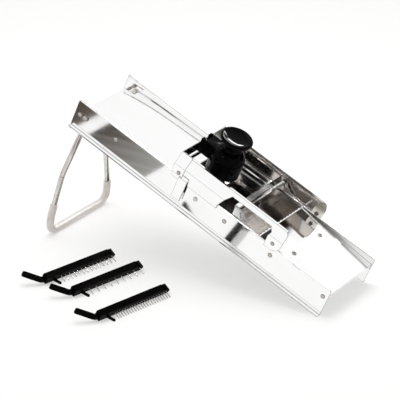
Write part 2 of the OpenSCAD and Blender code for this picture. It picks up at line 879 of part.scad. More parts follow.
module cams() {
  cam_margin = 6;
  color(black_plastic)
    on_slope()
      both_sides()
        difference() {
          side(cam_w - cam_t / 2, cam_w + cam_t / 2)
            translate([cam_s, up(cam_n)])
              union() {
                circle(d = cam_hub_d);
                polygon(concat([[0, 0]], [for (a = [-cam_margin : 4 : cam_turn + cam_margin]) cam_point(a)]));
              }
          cross_rod(cam_s, up(cam_n), 0, body_w, rod_d);
        }
}

module cam_shaft() {
  head_clear = 0.15;
  color(steel)
    on_slope()
      headed_rod(cam_s, up(cam_n), rod_d, head_clear);
}

lever_t = 3;

// The lever points down the slope at rest and turns towards the table
module cam_lever() {
  lever_h = 5;
  color(steel)
    on_slope()
      difference() {
        side(mid_w - lever_t / 2, mid_w + lever_t / 2)
          union() {
            translate([cam_s, up(cam_n)])
              circle(d = cam_hub_d + 1.4);
            translate([cam_s - lever_l, up(cam_n) - lever_h / 2])
              square([lever_l, lever_h]);
          }
        cross_rod(cam_s, up(cam_n), 0, body_w, rod_d);
        lever_knob_blank();
      }
}

module lever_knob_blank() {
  cross_rod(cam_s - lever_l, up(cam_n), mid_w - 6, mid_w + 6, lever_knob_d);
}

module lever_knob() {
  color(black_plastic)
    on_slope()
      lever_knob_blank();
}

function direction(points, i) = unit(points[i + 1] - points[i]);
function tangent_l(points, radii, i) =
  i == 0 || i == len(points) - 1 ? 0
  : radii[i] * tan(acos(direction(points, i - 1) * direction(points, i)) / 2);

// The columns of a turn that takes the z axis to d and the x axis towards v
function turn_to(d, v) =
  let (x = unit(v - d * (v * d)), y = cross(d, x))
    [[x[0], y[0], d[0]], [x[1], y[1], d[1]], [x[2], y[2], d[2]]];
function turn_z(a) = [[cos(a), -sin(a), 0], [sin(a), cos(a), 0], [0, 0, 1]];
function turn_y(a) = [[cos(a), 0, sin(a)], [0, 1, 0], [-sin(a), 0, cos(a)]];

// A round wire along a list of corners, each bent to its own radius; a corner of radius 0 gets a ball
module wire(points, radii, d) {
  breaks = [for (i = [0 : len(points) - 1]) if (radii[i] == 0) i];
  for (k = [0 : len(breaks) - 2]) {
    span = [breaks[k] : breaks[k + 1]];
    bent_run([for (i = span) points[i]], [for (i = span) radii[i]], d);
  }
  for (k = [1 : len(breaks) - 2])
    translate(points[breaks[k]])
      sphere(d = d * ball_share, $fn = 64);
}

// A wire whose corners are all bends
module bent_run(points, radii, d) {
  toward = len(points) > 2 ? direction(points, 1) : [0, 1, 0.1];
  t = turn_to(direction(points, 0), toward);
  p = points[0];
  multmatrix([for (i = [0 : 2]) [t[i][0], t[i][1], t[i][2], p[i]]])
    wire_from(points, radii, d, 0, t);
}

// One straight length, the bend after it and all that follows, in the frame of that length
module wire_from(points, radii, d, i, t) {
  length = norm(points[i + 1] - points[i]) - tangent_l(points, radii, i) - tangent_l(points, radii, i + 1);
  cylinder(h = length, d = d);
  if (i < len(points) - 2) {
    v = direction(points, i + 1) * t;
    side_turn = atan2(v[1], v[0]);
    bend = acos(v[2]);
    r = radii[i + 1];
    translate([0, 0, length])
      rotate(side_turn) {
        translate([r, 0, 0])
          rotate([90, 0, 180])
            rotate_extrude(angle = bend)
              translate([r, 0])
                circle(d = d);
        translate([r, 0, 0])
          rotate([0, bend, 0])
            translate([-r, 0, 0])
              wire_from(points, radii, d, i + 1, t * turn_z(side_turn) * turn_y(bend));
      }
  }
}

module stand_wire() {
  color(dark_steel)
    on_table()
      wire(stand_points, stand_radii, wire_d);
}

// The sleeve's corners, lengthened by extra at both ends
function sleeve_points(extra) = [
  stand_points[3] + (near_sleeve_l + extra) * unit(stand_points[2] - stand_points[3]),
  stand_points[3], stand_points[4], stand_points[5], stand_points[6],
  stand_points[6] + (far_sleeve_l + extra) * unit(stand_points[7] - stand_points[6])
];
sleeve_radii = [0, 0, foot_bend_r, foot_bend_r, 0, 0];

module stand_sleeve() {
  color([0.9, 0.9, 0.88, 0.6])
    on_table()
      difference() {
        wire(sleeve_points(0), sleeve_radii, sleeve_d);
        wire(sleeve_points(1), sleeve_radii, wire_d + 2 * sleeve_clear);
      }
}

module stand_caps() {
  cap_gap = 0.15;
  color(steel)
    on_slope()
      both_sides()
        difference() {
          translate([0, -cap_gap, 0])
            dome(pivot_s, up(pivot_n), pivot_cap_d, pivot_cap_h);
          cross_rod(pivot_s, up(pivot_n), -pivot_cap_h / 2, 1, wire_d);
        }
}

// Cross-section of a cheek: skirt outside the wall, crease, leaning face and folded lip
module cheek_section() {
  w_out = -cheek_clear - sheet_t;
  w_in = -cheek_clear;
  low_z = wall_h - skirt_n;
  crease_z = wall_h + crease_h;
  top_z = wall_h + cheek_top_h;
  under_lip = cheek_lean * (1 - sheet_t / (cheek_top_h - crease_h));
  polygon([
    [w_out, low_z], [w_out, crease_z], [w_out + cheek_lean, top_z], [w_in + cheek_lean + lip_w, top_z],
    [w_in + cheek_lean + lip_w, top_z - sheet_t], [w_in + under_lip, top_z - sheet_t], [w_in, crease_z],
    [w_in, low_z]
  ]);
}

carriage_high_s = carriage_s + carriage_l;

module cheek(s0) {
  intersection() {
    run(s0, carriage_high_s)
      cheek_section();
    side(-10, 30)
      difference() {
        translate([s0 - 1, wall_h - skirt_n - 1])
          square([carriage_high_s - s0 + 2, cheek_top_h + skirt_n + 2]);
        corner_waste(s0, wall_h - skirt_n, cheek_round_r, 0);
        corner_waste(s0, wall_h + cheek_top_h, cheek_round_r / 2, -90);
      }
  }
}

module bolt_hole(s, z) {
  cross_rod(s, z, -5, 10, runner_bolt_d);
}

low_bolt_s = carriage_s + 12;
high_bolt_s = carriage_high_s - 9;
bolt_z = wall_h + ride_clear + runner_h / 2;
near_bolts = [low_bolt_s, high_bolt_s];

module near_cheek() {
  color(steel)
    on_slope()
      difference() {
        cheek(carriage_s);
        side(-10, 30)
          polygon([
            [window_low_s, 0], [window_low_s, wall_h + window_top_h / 2],
            [window_low_s - 2, wall_h + crease_h + 3], [window_low_s + 2, wall_h + window_top_h],
            [window_high_s - window_slant, wall_h + window_top_h],
            [window_high_s - window_slant / 2, wall_h + crease_h],
            [window_high_s, wall_h], [window_high_s, 0]
          ]);
        for (s = near_bolts)
          bolt_hole(s, bolt_z);
      }
}

module far_cheek() {
  color(steel)
    on_slope()
      far_side()
        difference() {
          cheek(carriage_s + far_cheek_short);
          for (s = near_bolts)
            bolt_hole(s, bolt_z);
        }
}

// What lies between two sheets folded as the cheeks are, grow outside the cheeks' inner faces,
// as w and z from low to high above the wall tops
module between_sheets(grow, low, high) {
  lean = cheek_lean * (high - crease_h) / (cheek_top_h - crease_h);
  edge = cheek_clear + grow;
  polygon([
    [-edge, wall_h + low], [-edge, wall_h + crease_h], [lean - edge, wall_h + high],
    [body_w + edge - lean, wall_h + high], [body_w + edge, wall_h + crease_h], [body_w + edge, wall_h + low]
  ]);
}

end_plate_low = 1;

// A bent plate: its flanges lie outside the cheeks, and its slot takes a finger
module end_plate() {
  color(steel)
    on_slope()
      difference() {
        run(carriage_high_s - end_flange_l, carriage_high_s + sheet_t)
          between_sheets(2 * sheet_t, end_plate_low, end_plate_h);
        run(carriage_high_s - end_flange_l - 1, carriage_high_s)
          between_sheets(sheet_t, end_plate_low - 1, end_plate_h + 1);
        block([carriage_high_s - 1, mid_w - end_slot_w / 2, wall_h + end_slot_z],
          [carriage_high_s + sheet_t + 1, mid_w + end_slot_w / 2, wall_h + end_slot_z + end_slot_h]);
        both_sides()
          bolt_hole(high_bolt_s, bolt_z);
        rail_rivet_holes();
      }
}

// The bridge joins the cheeks over the blade; its long edges are folded down
module bridge() {
  half = bridge_l / 2;
  color(steel)
    on_slope()
      intersection() {
        run(bridge_s - half, bridge_s + half)
          between_sheets(0, 0, cheek_top_h);
        side(-5, body_w + 5)
          difference() {
            translate([bridge_s - half, wall_h + bridge_top_h - bridge_edge_h])
              square([bridge_l, bridge_edge_h]);
            translate([bridge_s - half + sheet_t, wall_h + bridge_top_h - bridge_edge_h - 1])
              square([bridge_l - 2 * sheet_t, bridge_edge_h + 1 - sheet_t]);
          }
      }
}

foot_w0 = 2.6;

// Triangular feet under the bridge's ends, each with a slanted slit
module bridge_feet() {
  foot_top = wall_h + bridge_top_h - bridge_edge_h;
  foot_high_s = bridge_s + bridge_l / 2;
  foot_low = wall_h + ride_clear + 0.6;
  color(steel)
    on_slope()
      both_sides()
        side(foot_w0, foot_w0 + sheet_t)
          difference() {
            polygon([
              [foot_high_s - foot_l, foot_low], [foot_high_s - bridge_l - 2, foot_top],
              [foot_high_s, foot_top], [foot_high_s, foot_low]
            ]);
            translate([foot_high_s - 12, foot_low + 2.4])
              rotate(58)
                square([7, 1.6]);
          }
}

// Nylon blocks that ride on the wall tops
module slide_runners() {
  color([0.92, 0.92, 0.9])
    on_slope()
      both_sides()
        difference() {
          for (s = near_bolts)
            block([s - runner_l / 2, -cheek_clear, wall_h + ride_clear],
              [s + runner_l / 2, runner_w, wall_h + ride_clear + runner_h]);
          for (s = near_bolts)
            bolt_hole(s, bolt_z);
        }
}

// Bolts through the cheeks and the runners, with a nut inside
module runner_bolts() {
  head_h = 1.8;
  nut_h = 2.2;
  color(dark_steel)
    on_slope()
      both_sides()
        for (s = near_bolts) {
          out_w = -cheek_clear - sheet_t - (s == high_bolt_s ? sheet_t : 0);
          cross_rod(s, bolt_z, out_w, runner_w + nut_h + 0.6, runner_bolt_d);
          translate([0, out_w, 0])
            dome(s, bolt_z, runner_bolt_d * 1.9, head_h);
          translate([-s, runner_w, bolt_z])
            rotate([-90, 0, 0])
              cylinder(h = nut_h, d = runner_bolt_d * 1.9, $fn = 6);
        }
}

rail_low_h = end_slot_z + end_slot_h + 1;
rail_high_h = end_plate_h - 1;
rail_face_s = carriage_high_s - 4;
rail_rivet_d = 2.6;

module at_rail_rivets() {
  for (h = [rail_low_h + 2.4, rail_high_h - 2.4])
    translate([-carriage_high_s, mid_w, wall_h + h])
      rotate([0, 90, 0])
        children();
}

module rail_rivet_holes() {
  at_rail_rivets()
    cylinder(h = 20, d = rail_rivet_d, center = true);
}

// A T-shaped rail on the inside of the end plate, open at the top
module guide_rail() {
  color(steel)
    on_slope()
      difference() {
        union() {
          block([rail_face_s, mid_w - rail_web_w / 2, wall_h + rail_low_h],
            [carriage_high_s, mid_w + rail_web_w / 2, wall_h + rail_high_h]);
          block([rail_face_s - rail_t, mid_w - rail_w / 2, wall_h + rail_low_h],
            [rail_face_s, mid_w + rail_w / 2, wall_h + rail_high_h]);
        }
        rail_rivet_holes();
      }
}

module end_plate_rivets() {
  rivet_out = sheet_t + 0.8;
  rivet_in = carriage_high_s - rail_face_s + rail_t;
  color(steel)
    on_slope()
      at_rail_rivets()
        union() {
          translate([0, 0, -sheet_t])
            cylinder(h = rivet_in + sheet_t, d = rail_rivet_d);
          translate([0, 0, -rivet_out])
            cylinder(h = rivet_out - sheet_t, d = rail_rivet_d * 1.8);
        }
}

tab_clear = 0.1;
tab_lead = 9;

// Tabs that hang outside the walls, clear of the rod heads
module guide_tabs() {
  tab_s = high_bolt_s - runner_l / 2 - tab_lead;
  flange_s = carriage_high_s - end_flange_l - tab_clear;
  tab_out = -tab_gap - sheet_t;
  tab_top = wall_h + end_plate_low + 4;
  color(steel)
    on_slope()
      both_sides()
        difference() {
          run(tab_s, tab_s + tab_l)
            polygon([
              [tab_out, up(tab_n)], [tab_out, tab_top - 4], [-cheek_clear - sheet_t, tab_top],
              [-cheek_clear - sheet_t, tab_top - 3], [-tab_gap, tab_top - 6], [-tab_gap, up(tab_n)]
            ]);
          block([flange_s, tab_out - 1, wall_h + end_plate_low - tab_clear],
            [flange_s + big, 0, wall_h + end_plate_h]);
        }
}

pusher_low_z = wall_h + pusher_z;
shoulder_z = pusher_side_h;
neck_z = shoulder_z + shoulder_h;
knob_z = neck_z + neck_h;
arm_low_h = rail_low_h + 0.6;
arm_rise = 9;
arm_high_h = pusher_z + pusher_side_h + arm_rise;
shoulder_steps = 6;

function shoulder_point(i) =
  let (a = 90 * i / shoulder_steps)
    [neck_r + (pusher_d / 2 - neck_r) * cos(a), shoulder_z + shoulder_h * sin(a)];

module at_pusher() {
  translate([-pusher_s, mid_w, pusher_low_z])
    children();
}

stud_d = 5;
stud_low_l = 15.5;
stud_high_l = 6.5;
stud_end_gap = 0.5;

// The pusher's body, with an arm that hooks over the guide rail
module pusher_body() {
  slot_s = rail_face_s - rail_t - rail_clear;
  rail_half = rail_w / 2 + rail_clear;
  web_half = rail_web_w / 2 + rail_clear;
  arm_back_s = carriage_high_s - rail_clear;
  color(black_plastic)
    on_slope()
      difference() {
        union() {
          at_pusher()
            rotate_extrude($fn = 96)
              polygon(concat(
                [[0, 0], [pusher_d / 2 - 1.5, 0], [pusher_d / 2, 1.5]],
                [for (i = [0 : shoulder_steps]) shoulder_point(i)],
                [[neck_r, knob_z], [0, knob_z]]
              ));
          block([pusher_s, mid_w - arm_w / 2, wall_h + arm_low_h],
            [arm_back_s, mid_w + arm_w / 2, wall_h + arm_high_h]);
        }
        block([slot_s, mid_w - rail_half, wall_h], [rail_face_s + rail_clear, mid_w + rail_half, big]);
        block([slot_s, mid_w - web_half, wall_h], [arm_back_s + 1, mid_w + web_half, big]);
        at_pusher()
          translate([0, 0, neck_z - stud_low_l - stud_end_gap])
            cylinder(h = big, d = stud_d);
        at_pusher_pins()
          cylinder(h = 2 * pin_root_l + 0.8, d = pin_d, center = true);
      }
}

knob_steps = 8;

// The knob flares from the neck to a rounded rim and is dished on top
module pusher_knob() {
  rim_r = 2.6;
  flare_z = knob_h - rim_r;
  flare_w = knob_d / 2 - neck_r - 1;
  flare_share = 0.85;
  color(black_plastic)
    on_slope()
      at_pusher()
        translate([0, 0, knob_z])
          difference() {
            rotate_extrude($fn = 96)
              polygon(concat(
                [[0, 0], [neck_r + 1, 0]],
                [for (i = [0 : knob_steps])
                  let (a = 90 * i / knob_steps)
                    [knob_d / 2 - flare_w * cos(a), (flare_z - rim_r) * sin(a) * flare_share + 1]],
                [for (i = [0 : knob_steps])
                  let (a = -60 + 150 * i / knob_steps)
                    [knob_d / 2 - rim_r + rim_r * cos(a), flare_z + rim_r * sin(a)]],
                [[knob_d / 2 - rim_r - 2, knob_h - dish_d * 0.8], [knob_d / 3, knob_h - dish_d],
                  [0, knob_h - dish_d]]
              ));
            translate([0, 0, -1])
              cylinder(h = 1 + stud_high_l + stud_end_gap, d = stud_d);
          }
}

module pusher_stud() {
  color(dark_steel)
    on_slope()
      at_pusher()
        translate([0, 0, neck_z - stud_low_l])
          cylinder(h = knob_z - neck_z + stud_low_l + stud_high_l, d = stud_d - 0.1);
}

pin_rings = [[0.3, 4], [0.72, 10]];
pin_root_l = 3.6;
pin_point_l = 1.4;

module at_pusher_pins() {
  at_pusher() {
    children();
    for (ring = pin_rings, i = [0 : ring[1] - 1])
      rotate(360 * i / ring[1])
        translate([ring[0] * pusher_d / 2, 0, 0])
          children();
  }
}

// Pointed steel pins that hold the food
module pusher_pins() {
  color(steel)
    on_slope()
      at_pusher_pins()
        rotate([180, 0, 0])
          rotate_extrude()
            polygon([
              [0, -pin_root_l], [pin_d / 2 - 0.02, -pin_root_l], [pin_d / 2 - 0.02, pin_l - pin_point_l],
              [0.15, pin_l], [0, pin_l]
            ]);
}

// Places a comb on the table, leaning on the tips of its pins
module at_comb(i) {
  translate(comb_places[i] - centre)
    rotate(comb_turn)
      rotate([comb_lean, 0, 0])
        children();
}

first_pin_x = 22;
last_pin_x = comb_l - 7;
function pin_x(k, count) = first_pin_x + k * (last_pin_x - first_pin_x) / (count - 1);
pin_bite = 3.5;

function arc_points(c, r, from, to, n) =
  [for (i = [0 : n]) c + r * [cos(from + (to - from) * i / n), sin(from + (to - from) * i / n)]];

// Plan of a comb's handle: a short root, a rounded elbow and a round end
module comb_handle_plan() {
  half = comb_handle_w / 2;
  mid_y = comb_t / 2;
  root_l = 4;
  bend = comb_handle_bend;
  elbow = [0, mid_y + handle_bend_r];
  polygon(concat(
    [[root_l, mid_y - half]],
    arc_points(elbow, handle_bend_r + half, -90, -90 - bend, 6),
    arc_points([handle_tip[0], handle_tip[1]], half, 270 - bend, 90 - bend, 10),
    arc_points(elbow, handle_bend_r - half, -90 - bend, -90, 6),
    [[root_l, mid_y + half]]
  ));
}

// Side view of a comb's bar, with its notched round nose
module comb_bar_side() {
  nose_l = 9;
  nose_r = comb_h * 0.43;
  notch_l = 2;
  notch_d = 2;
  polygon(concat(
    [[0, 0]],
    arc_points([comb_l - nose_r, nose_r], nose_r, -90, 90, 12),
    [[comb_l - nose_l + notch_l, 2 * nose_r], [comb_l - nose_l + notch_l / 2, 2 * nose_r - notch_d],
      [comb_l - nose_l, 2 * nose_r - notch_d], [comb_l - nose_l, comb_h], [0, comb_h]]
  ));
}

// A comb's bar: notched round nose, spur beside the first pin and a bent handle
module comb_bar(i, count) {
  spur_t = 2.6;
  spur_gap = 9;
  color(black_plastic)
    at_comb(i)
      difference() {
        union() {
          translate([0, comb_t, 0])
            rotate([90, 0, 0])
              linear_extrude(comb_t)
                comb_bar_side();
          translate([first_pin_x - spur_gap, 0, 0])
            rotate([-comb_lean, 0, 0])
              translate([0, -comb_spur_l, 0])
                cube([spur_t, comb_spur_l + 1, spur_t]);
          translate([0, 0, handle_low_z])
            linear_extrude(comb_handle_h)
              comb_handle_plan();
        }
        for (k = [0 : count - 1])
          translate([pin_x(k, count), pin_bite, comb_pin_z])
            rotate([90, 0, 0])
              cylinder(h = pin_bite + 1, d = comb_pin_d);
      }
}

module comb_pin_row(i, count) {
  color(steel)
    at_comb(i)
      for (k = [0 : count - 1])
        translate([pin_x(k, count), pin_bite, comb_pin_z])
          rotate([90, 0, 0])
            cylinder(h = pin_bite + comb_pin_l, d = comb_pin_d - 0.04);
}

module comb_1_bar() {
  comb_bar(0, comb_1_pins);
}

module comb_1_pins_set() {
  comb_pin_row(0, comb_1_pins);
}

module comb_2_bar() {
  comb_bar(1, comb_2_pins);
}

module comb_2_pins_set() {
  comb_pin_row(1, comb_2_pins);
}

module comb_3_bar() {
  comb_bar(2, comb_3_pins);
}

module comb_3_pins_set() {
  comb_pin_row(2, comb_3_pins);
}

near_wall();
far_wall();
outlet_deck();
outlet_brace();
ring_rivets();
tie_rods();
deck_hinge_rod();
blade_holder();
blade_clamp();
straight_blade();
serrated_blade();
blade_screws();
blade_ledges();
comb_channel();
stand_stops();
inlet_deck();
cam_shaft();
cams();
cam_lever();
lever_knob();
stand_wire();
stand_sleeve();
stand_caps();
near_cheek();
far_cheek();
end_plate();
bridge();
bridge_feet();
slide_runners();
runner_bolts();
end_plate_rivets();
guide_tabs();
guide_rail();
pusher_body();
pusher_knob();
pusher_stud();
pusher_pins();
comb_1_bar();
comb_1_pins_set();
comb_2_bar();
comb_2_pins_set();
comb_3_bar();
comb_3_pins_set();
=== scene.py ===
"""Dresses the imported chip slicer: finishes, smooth wire, turned pusher, pointed pins and the studio."""

import json
import logging
import math
from dataclasses import dataclass
from enum import Enum

import bmesh
import bpy
from mathutils import Matrix, Vector


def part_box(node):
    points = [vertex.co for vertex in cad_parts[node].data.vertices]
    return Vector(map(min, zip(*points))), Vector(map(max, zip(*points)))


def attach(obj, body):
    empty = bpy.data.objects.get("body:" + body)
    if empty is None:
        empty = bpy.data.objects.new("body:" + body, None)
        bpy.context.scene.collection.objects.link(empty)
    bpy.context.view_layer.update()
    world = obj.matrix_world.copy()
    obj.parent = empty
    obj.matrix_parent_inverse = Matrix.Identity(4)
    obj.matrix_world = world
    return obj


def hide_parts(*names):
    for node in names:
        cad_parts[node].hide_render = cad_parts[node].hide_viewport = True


log = logging.getLogger("chip_slicer")
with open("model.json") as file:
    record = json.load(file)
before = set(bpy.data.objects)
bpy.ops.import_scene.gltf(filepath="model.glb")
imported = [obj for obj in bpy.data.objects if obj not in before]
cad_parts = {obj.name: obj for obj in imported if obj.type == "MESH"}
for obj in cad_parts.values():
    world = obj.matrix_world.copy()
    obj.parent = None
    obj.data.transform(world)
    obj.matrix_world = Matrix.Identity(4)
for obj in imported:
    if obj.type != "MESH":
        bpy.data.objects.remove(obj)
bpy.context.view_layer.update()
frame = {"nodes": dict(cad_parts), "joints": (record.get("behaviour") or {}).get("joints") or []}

MM = 0.001
Path = list[Vector]
Profile = list[tuple[float, float]]


def linear(colour: str) -> tuple[float, float, float, float]:
    """Turns an sRGB hex colour into linear light.

    Args:
        colour: Six hex digits after a hash.

    Returns:
        Linear red, green and blue, and an alpha of one.
    """
    shares = [int(colour[i : i + 2], 16) / 255 for i in (1, 3, 5)]
    light = [c / 12.92 if c <= 0.04045 else ((c + 0.055) / 1.055) ** 2.4 for c in shares]
    return (light[0], light[1], light[2], 1.0)


def add_node(tree: bpy.types.NodeTree, kind: str, settings: dict, links: dict) -> bpy.types.Node:
    """Adds one node with its settings and the links that feed it.

    Args:
        tree: The node tree that gets the node.
        kind: Blender's name for the kind of node.
        settings: Attribute names, input names or input numbers, each with its value.
        links: Input names or numbers, each with the socket that feeds it.

    Returns:
        The new node.
    """
    node = tree.nodes.new(kind)
    for key, value in settings.items():
        if isinstance(key, str) and hasattr(node, key):
            setattr(node, key, value)
        else:
            node.inputs[key].default_value = value
    for key, socket in links.items():
        tree.links.new(socket, node.inputs[key])
    return node


@dataclass(frozen=True)
class SlopeFrame:
    """The slicer's own frame: s runs up the slope, w across, z up from the underside of the walls."""

    slope: float = math.radians(23.7)
    pivot_s: float = 383.3
    pivot_z: float = 22.8
    mid_w: float = 52.75

    def matrix(self) -> Matrix:
        """Returns the matrix that takes metres along (-s, w, z) to the row frame."""
        pivot = next(j for j in frame["joints"] if j["name"] == "stand_fold")["pos_m"]
        turn = Matrix.Rotation(self.slope, 4, "Y")
        local = Vector((-self.pivot_s, self.mid_w, self.pivot_z)) * MM
        return Matrix.Translation(Vector(pivot) - turn @ local) @ turn

    def point(self, s: float, w: float, z: float) -> Vector:
        """Returns the row place, in metres, of a point given in the slicer's frame in millimetres."""
        return self.matrix() @ (Vector((-s, w, z)) * MM)


SLOPE = SlopeFrame()
WALL_H = 40.0
BODY_W = 105.5


class Lay(Enum):
    """Directions in which a surface was rolled, drawn or ground."""

    ALONG_SLOPE = "along the slope"
    ACROSS = "from wall to wall"
    ALONG_LEGS = "down the stand's legs"


@dataclass(frozen=True)
class Finish:
    """What every finish shares: a name, a colour and the way its surface was worked."""

    name: str
    colour: str
    roughness: float

    def material(self) -> bpy.types.Material:
        """Returns this finish's material, made the first time that it is asked for."""
        made = bpy.data.materials.get(self.name)
        if made is not None:
            return made
        made = bpy.data.materials.new(self.name)
        made.use_nodes = True
        tree = made.node_tree
        surface = next(n for n in tree.nodes if n.type == "BSDF_PRINCIPLED")
        surface.inputs["Base Color"].default_value = linear(self.colour)
        surface.inputs["Roughness"].default_value = self.roughness
        self.shade(tree, surface)
        return made

    def shade(self, tree: bpy.types.NodeTree, surface: bpy.types.Node) -> None:
        """Adds this finish's own nodes; the plain finish has none."""

    def place(self, tree: bpy.types.NodeTree, lay: Lay) -> bpy.types.NodeSocket:
        """Returns object coordinates, turned so that x runs along the lay."""
        coords = add_node(tree, "ShaderNodeTexCoord", {}, {}).outputs["Object"]
        axis, angle = {
            Lay.ALONG_SLOPE: ("Y_AXIS", -SLOPE.slope),
            Lay.ACROSS: ("Z_AXIS", math.radians(90)),
            Lay.ALONG_LEGS: ("Y_AXIS", math.radians(72)),
        }[lay]
        turned = add_node(
            tree, "ShaderNodeVectorRotate", {"rotation_type": axis, "Angle": angle}, {"Vector": coords}
        )
        return turned.outputs["Vector"]

    def streaks(
        self, tree: bpy.types.NodeTree, place: bpy.types.NodeSocket, long_mm: float, wide_mm: float, detail: float = 3
    ) -> bpy.types.NodeSocket:
        """Returns a noise of long streaks along x.

        Args:
            tree: The material's node tree.
            place: Coordinates whose x axis runs along the streaks.
            long_mm: Length of a streak.
            wide_mm: Width of a streak.
            detail: Octaves of finer streaks.

        Returns:
            The noise, from 0 to 1.
        """
        scale = (1 / (long_mm * MM), 1 / (wide_mm * MM), 1 / (wide_mm * MM))
        stretched = add_node(tree, "ShaderNodeMapping", {"Scale": scale}, {"Vector": place})
        noise = add_node(
            tree,
            "ShaderNodeTexNoise",
            {"Scale": 1.0, "Detail": detail, "Roughness": 0.55},
            {"Vector": stretched.outputs["Vector"]},
        )
        return noise.outputs["Fac"]

    def spread(
        self, tree: bpy.types.NodeTree, value: bpy.types.NodeSocket, low: float, high: float, narrow: float = 0.3
    ) -> bpy.types.NodeSocket:
        """Returns a noise spread over a range of its own.

        Args:
            tree: The material's node tree.
            value: A noise from 0 to 1 that gathers round a half.
            low: Value given where the noise is low.
            high: Value given where the noise is high.
            narrow: Share of the noise's range cut off at each side.

        Returns:
            The spread value.
        """
        ranged = add_node(
            tree,
            "ShaderNodeMapRange",
            {"From Min": narrow, "From Max": 1 - narrow, "To Min": low, "To Max": high},
            {"Value": value},
        )
        return ranged.outputs["Result"]

    def rubbed_and_shaded_edges(self, tree: bpy.types.NodeTree, radius_mm: float) -> bpy.types.NodeSocket:
        """Returns a mask that is 1 near edges and 0 on open faces: rubbed edges on plastic, and on steel the dark edges
        that are partly dull cut edge and partly painted shade.

        Args:
            tree: The material's node tree.
            radius_mm: Width of the edge band; on plastic, the band that hands and cloths have rubbed.

        Returns:
            The mask.
        """
        rounded = add_node(tree, "ShaderNodeBevel", {"samples": 4, "Radius": radius_mm * MM}, {})
        plain = add_node(tree, "ShaderNodeNewGeometry", {}, {})
        lean = add_node(
            tree,
            "ShaderNodeVectorMath",
            {"operation": "DOT_PRODUCT"},
            {0: rounded.outputs["Normal"], 1: plain.outputs["Normal"]},
        )
        mask = add_node(
            tree,
            "ShaderNodeMapRange",
            {"From Min": 0.998, "From Max": 0.95, "To Min": 0.0, "To Max": 1.0},
            {"Value": lean.outputs["Value"]},
        )
        return mask.outputs["Result"]

    def raise_grain(
        self,
        tree: bpy.types.NodeTree,
        height: bpy.types.NodeSocket,
        depth_mm: float,
        strength: float,
        under: bpy.types.NodeSocket | None = None,
    ) -> bpy.types.NodeSocket:
        """Returns a normal that follows a height.

        Args:
            tree: The material's node tree.
            height: Height from 0 to 1.
            depth_mm: Height of the relief.
            strength: Share of the relief that shows.
            under: Normal that this relief lies on.

        Returns:
            The bumped normal.
        """
        links = {"Height": height}
        if under is not None:
            links["Normal"] = under
        bump = add_node(tree, "ShaderNodeBump", {"Strength": strength, "Distance": depth_mm * MM}, links)
        return bump.outputs["Normal"]

    def tint(
        self, tree: bpy.types.NodeTree, mask: bpy.types.NodeSocket, other: str, below: bpy.types.NodeSocket | None = None
    ) -> bpy.types.NodeSocket:
        """Returns this finish's colour mixed with another by a mask.

        Args:
            tree: The material's node tree.
            mask: Share of the other colour, from 0 to 1.
            other: The other colour.
            below: Colour to mix from, if it isn't the plain one.

        Returns:
            The mixed colour.
        """
        links = {"Factor": mask}
        if below is not None:
            links[6] = below
        mixed = add_node(
            tree, "ShaderNodeMix", {"data_type": "RGBA", 6: linear(self.colour), 7: linear(other)}, links
        )
        return mixed.outputs[2]


@dataclass(frozen=True)
class RolledStainless(Finish):
    """Stainless sheet, rolled and then buffed or brushed: long faint grain, soft smears, rubbed duller edges and a dark
    edge colour that is partly the cut edge and partly painted shade.
    """

    lay: Lay = Lay.ALONG_SLOPE
    grain_mm: float = 0.9
    grain_strength: float = 0.05
    wave_strength: float = 0.03
    smear: float = 0.03
    drawn_lines: float = 0.0
    shade_colour: str = "#F6F6F5"
    # The dark edge colour is partly the dull cut edge and partly painted shade along the outlines
    edge_colour: str = "#26211E"
    edge_mm: float = 1.0

    def shade(self, tree: bpy.types.NodeTree, surface: bpy.types.Node) -> None:
        """Gives the metal its grain, its uneven polish, its slight waves and its edges."""
        place = self.place(tree, self.lay)
        grain = self.streaks(tree, place, 70, self.grain_mm, 4)
        smears = self.streaks(tree, place, 46, 28, 2)
        waves = self.streaks(tree, place, 110, 60, 1)
        edges = self.rubbed_and_shaded_edges(tree, self.edge_mm)
        polish = add_node(
            tree,
            "ShaderNodeMath",
            {"operation": "ADD"},
            {
                0: self.spread(tree, grain, self.roughness * 0.75, self.roughness * 1.3),
                1: self.spread(tree, smears, 0.0, self.smear),
            },
        )
        worn = add_node(
            tree,
            "ShaderNodeMath",
            {"operation": "MULTIPLY_ADD", 1: 0.12},
            {0: edges, 2: polish.outputs["Value"]},
        )
        lines = self.spread(tree, grain, -self.drawn_lines, self.drawn_lines)
        shaded = add_node(
            tree,
            "ShaderNodeMath",
            {"operation": "ADD", "use_clamp": True},
            {0: self.spread(tree, smears, 0.0, 0.6), 1: lines},
        )
        smeared = self.tint(tree, shaded.outputs["Value"], self.shade_colour)
        # Edges darkened towards the edge colour: partly dull cut edge, partly painted shade
        colour = add_node(
            tree,
            "ShaderNodeMix",
            {"data_type": "RGBA", 7: linear(self.edge_colour)},
            {"Factor": edges, 6: smeared},
        )
        tree.links.new(colour.outputs[2], surface.inputs["Base Color"])
        tree.links.new(worn.outputs["Value"], surface.inputs["Roughness"])
        surface.inputs["Metallic"].default_value = 1.0
        broad = self.raise_grain(tree, waves, 0.5, self.wave_strength)
        fine = self.raise_grain(tree, grain, 0.02, self.grain_strength, broad)
        tree.links.new(fine, surface.inputs["Normal"])


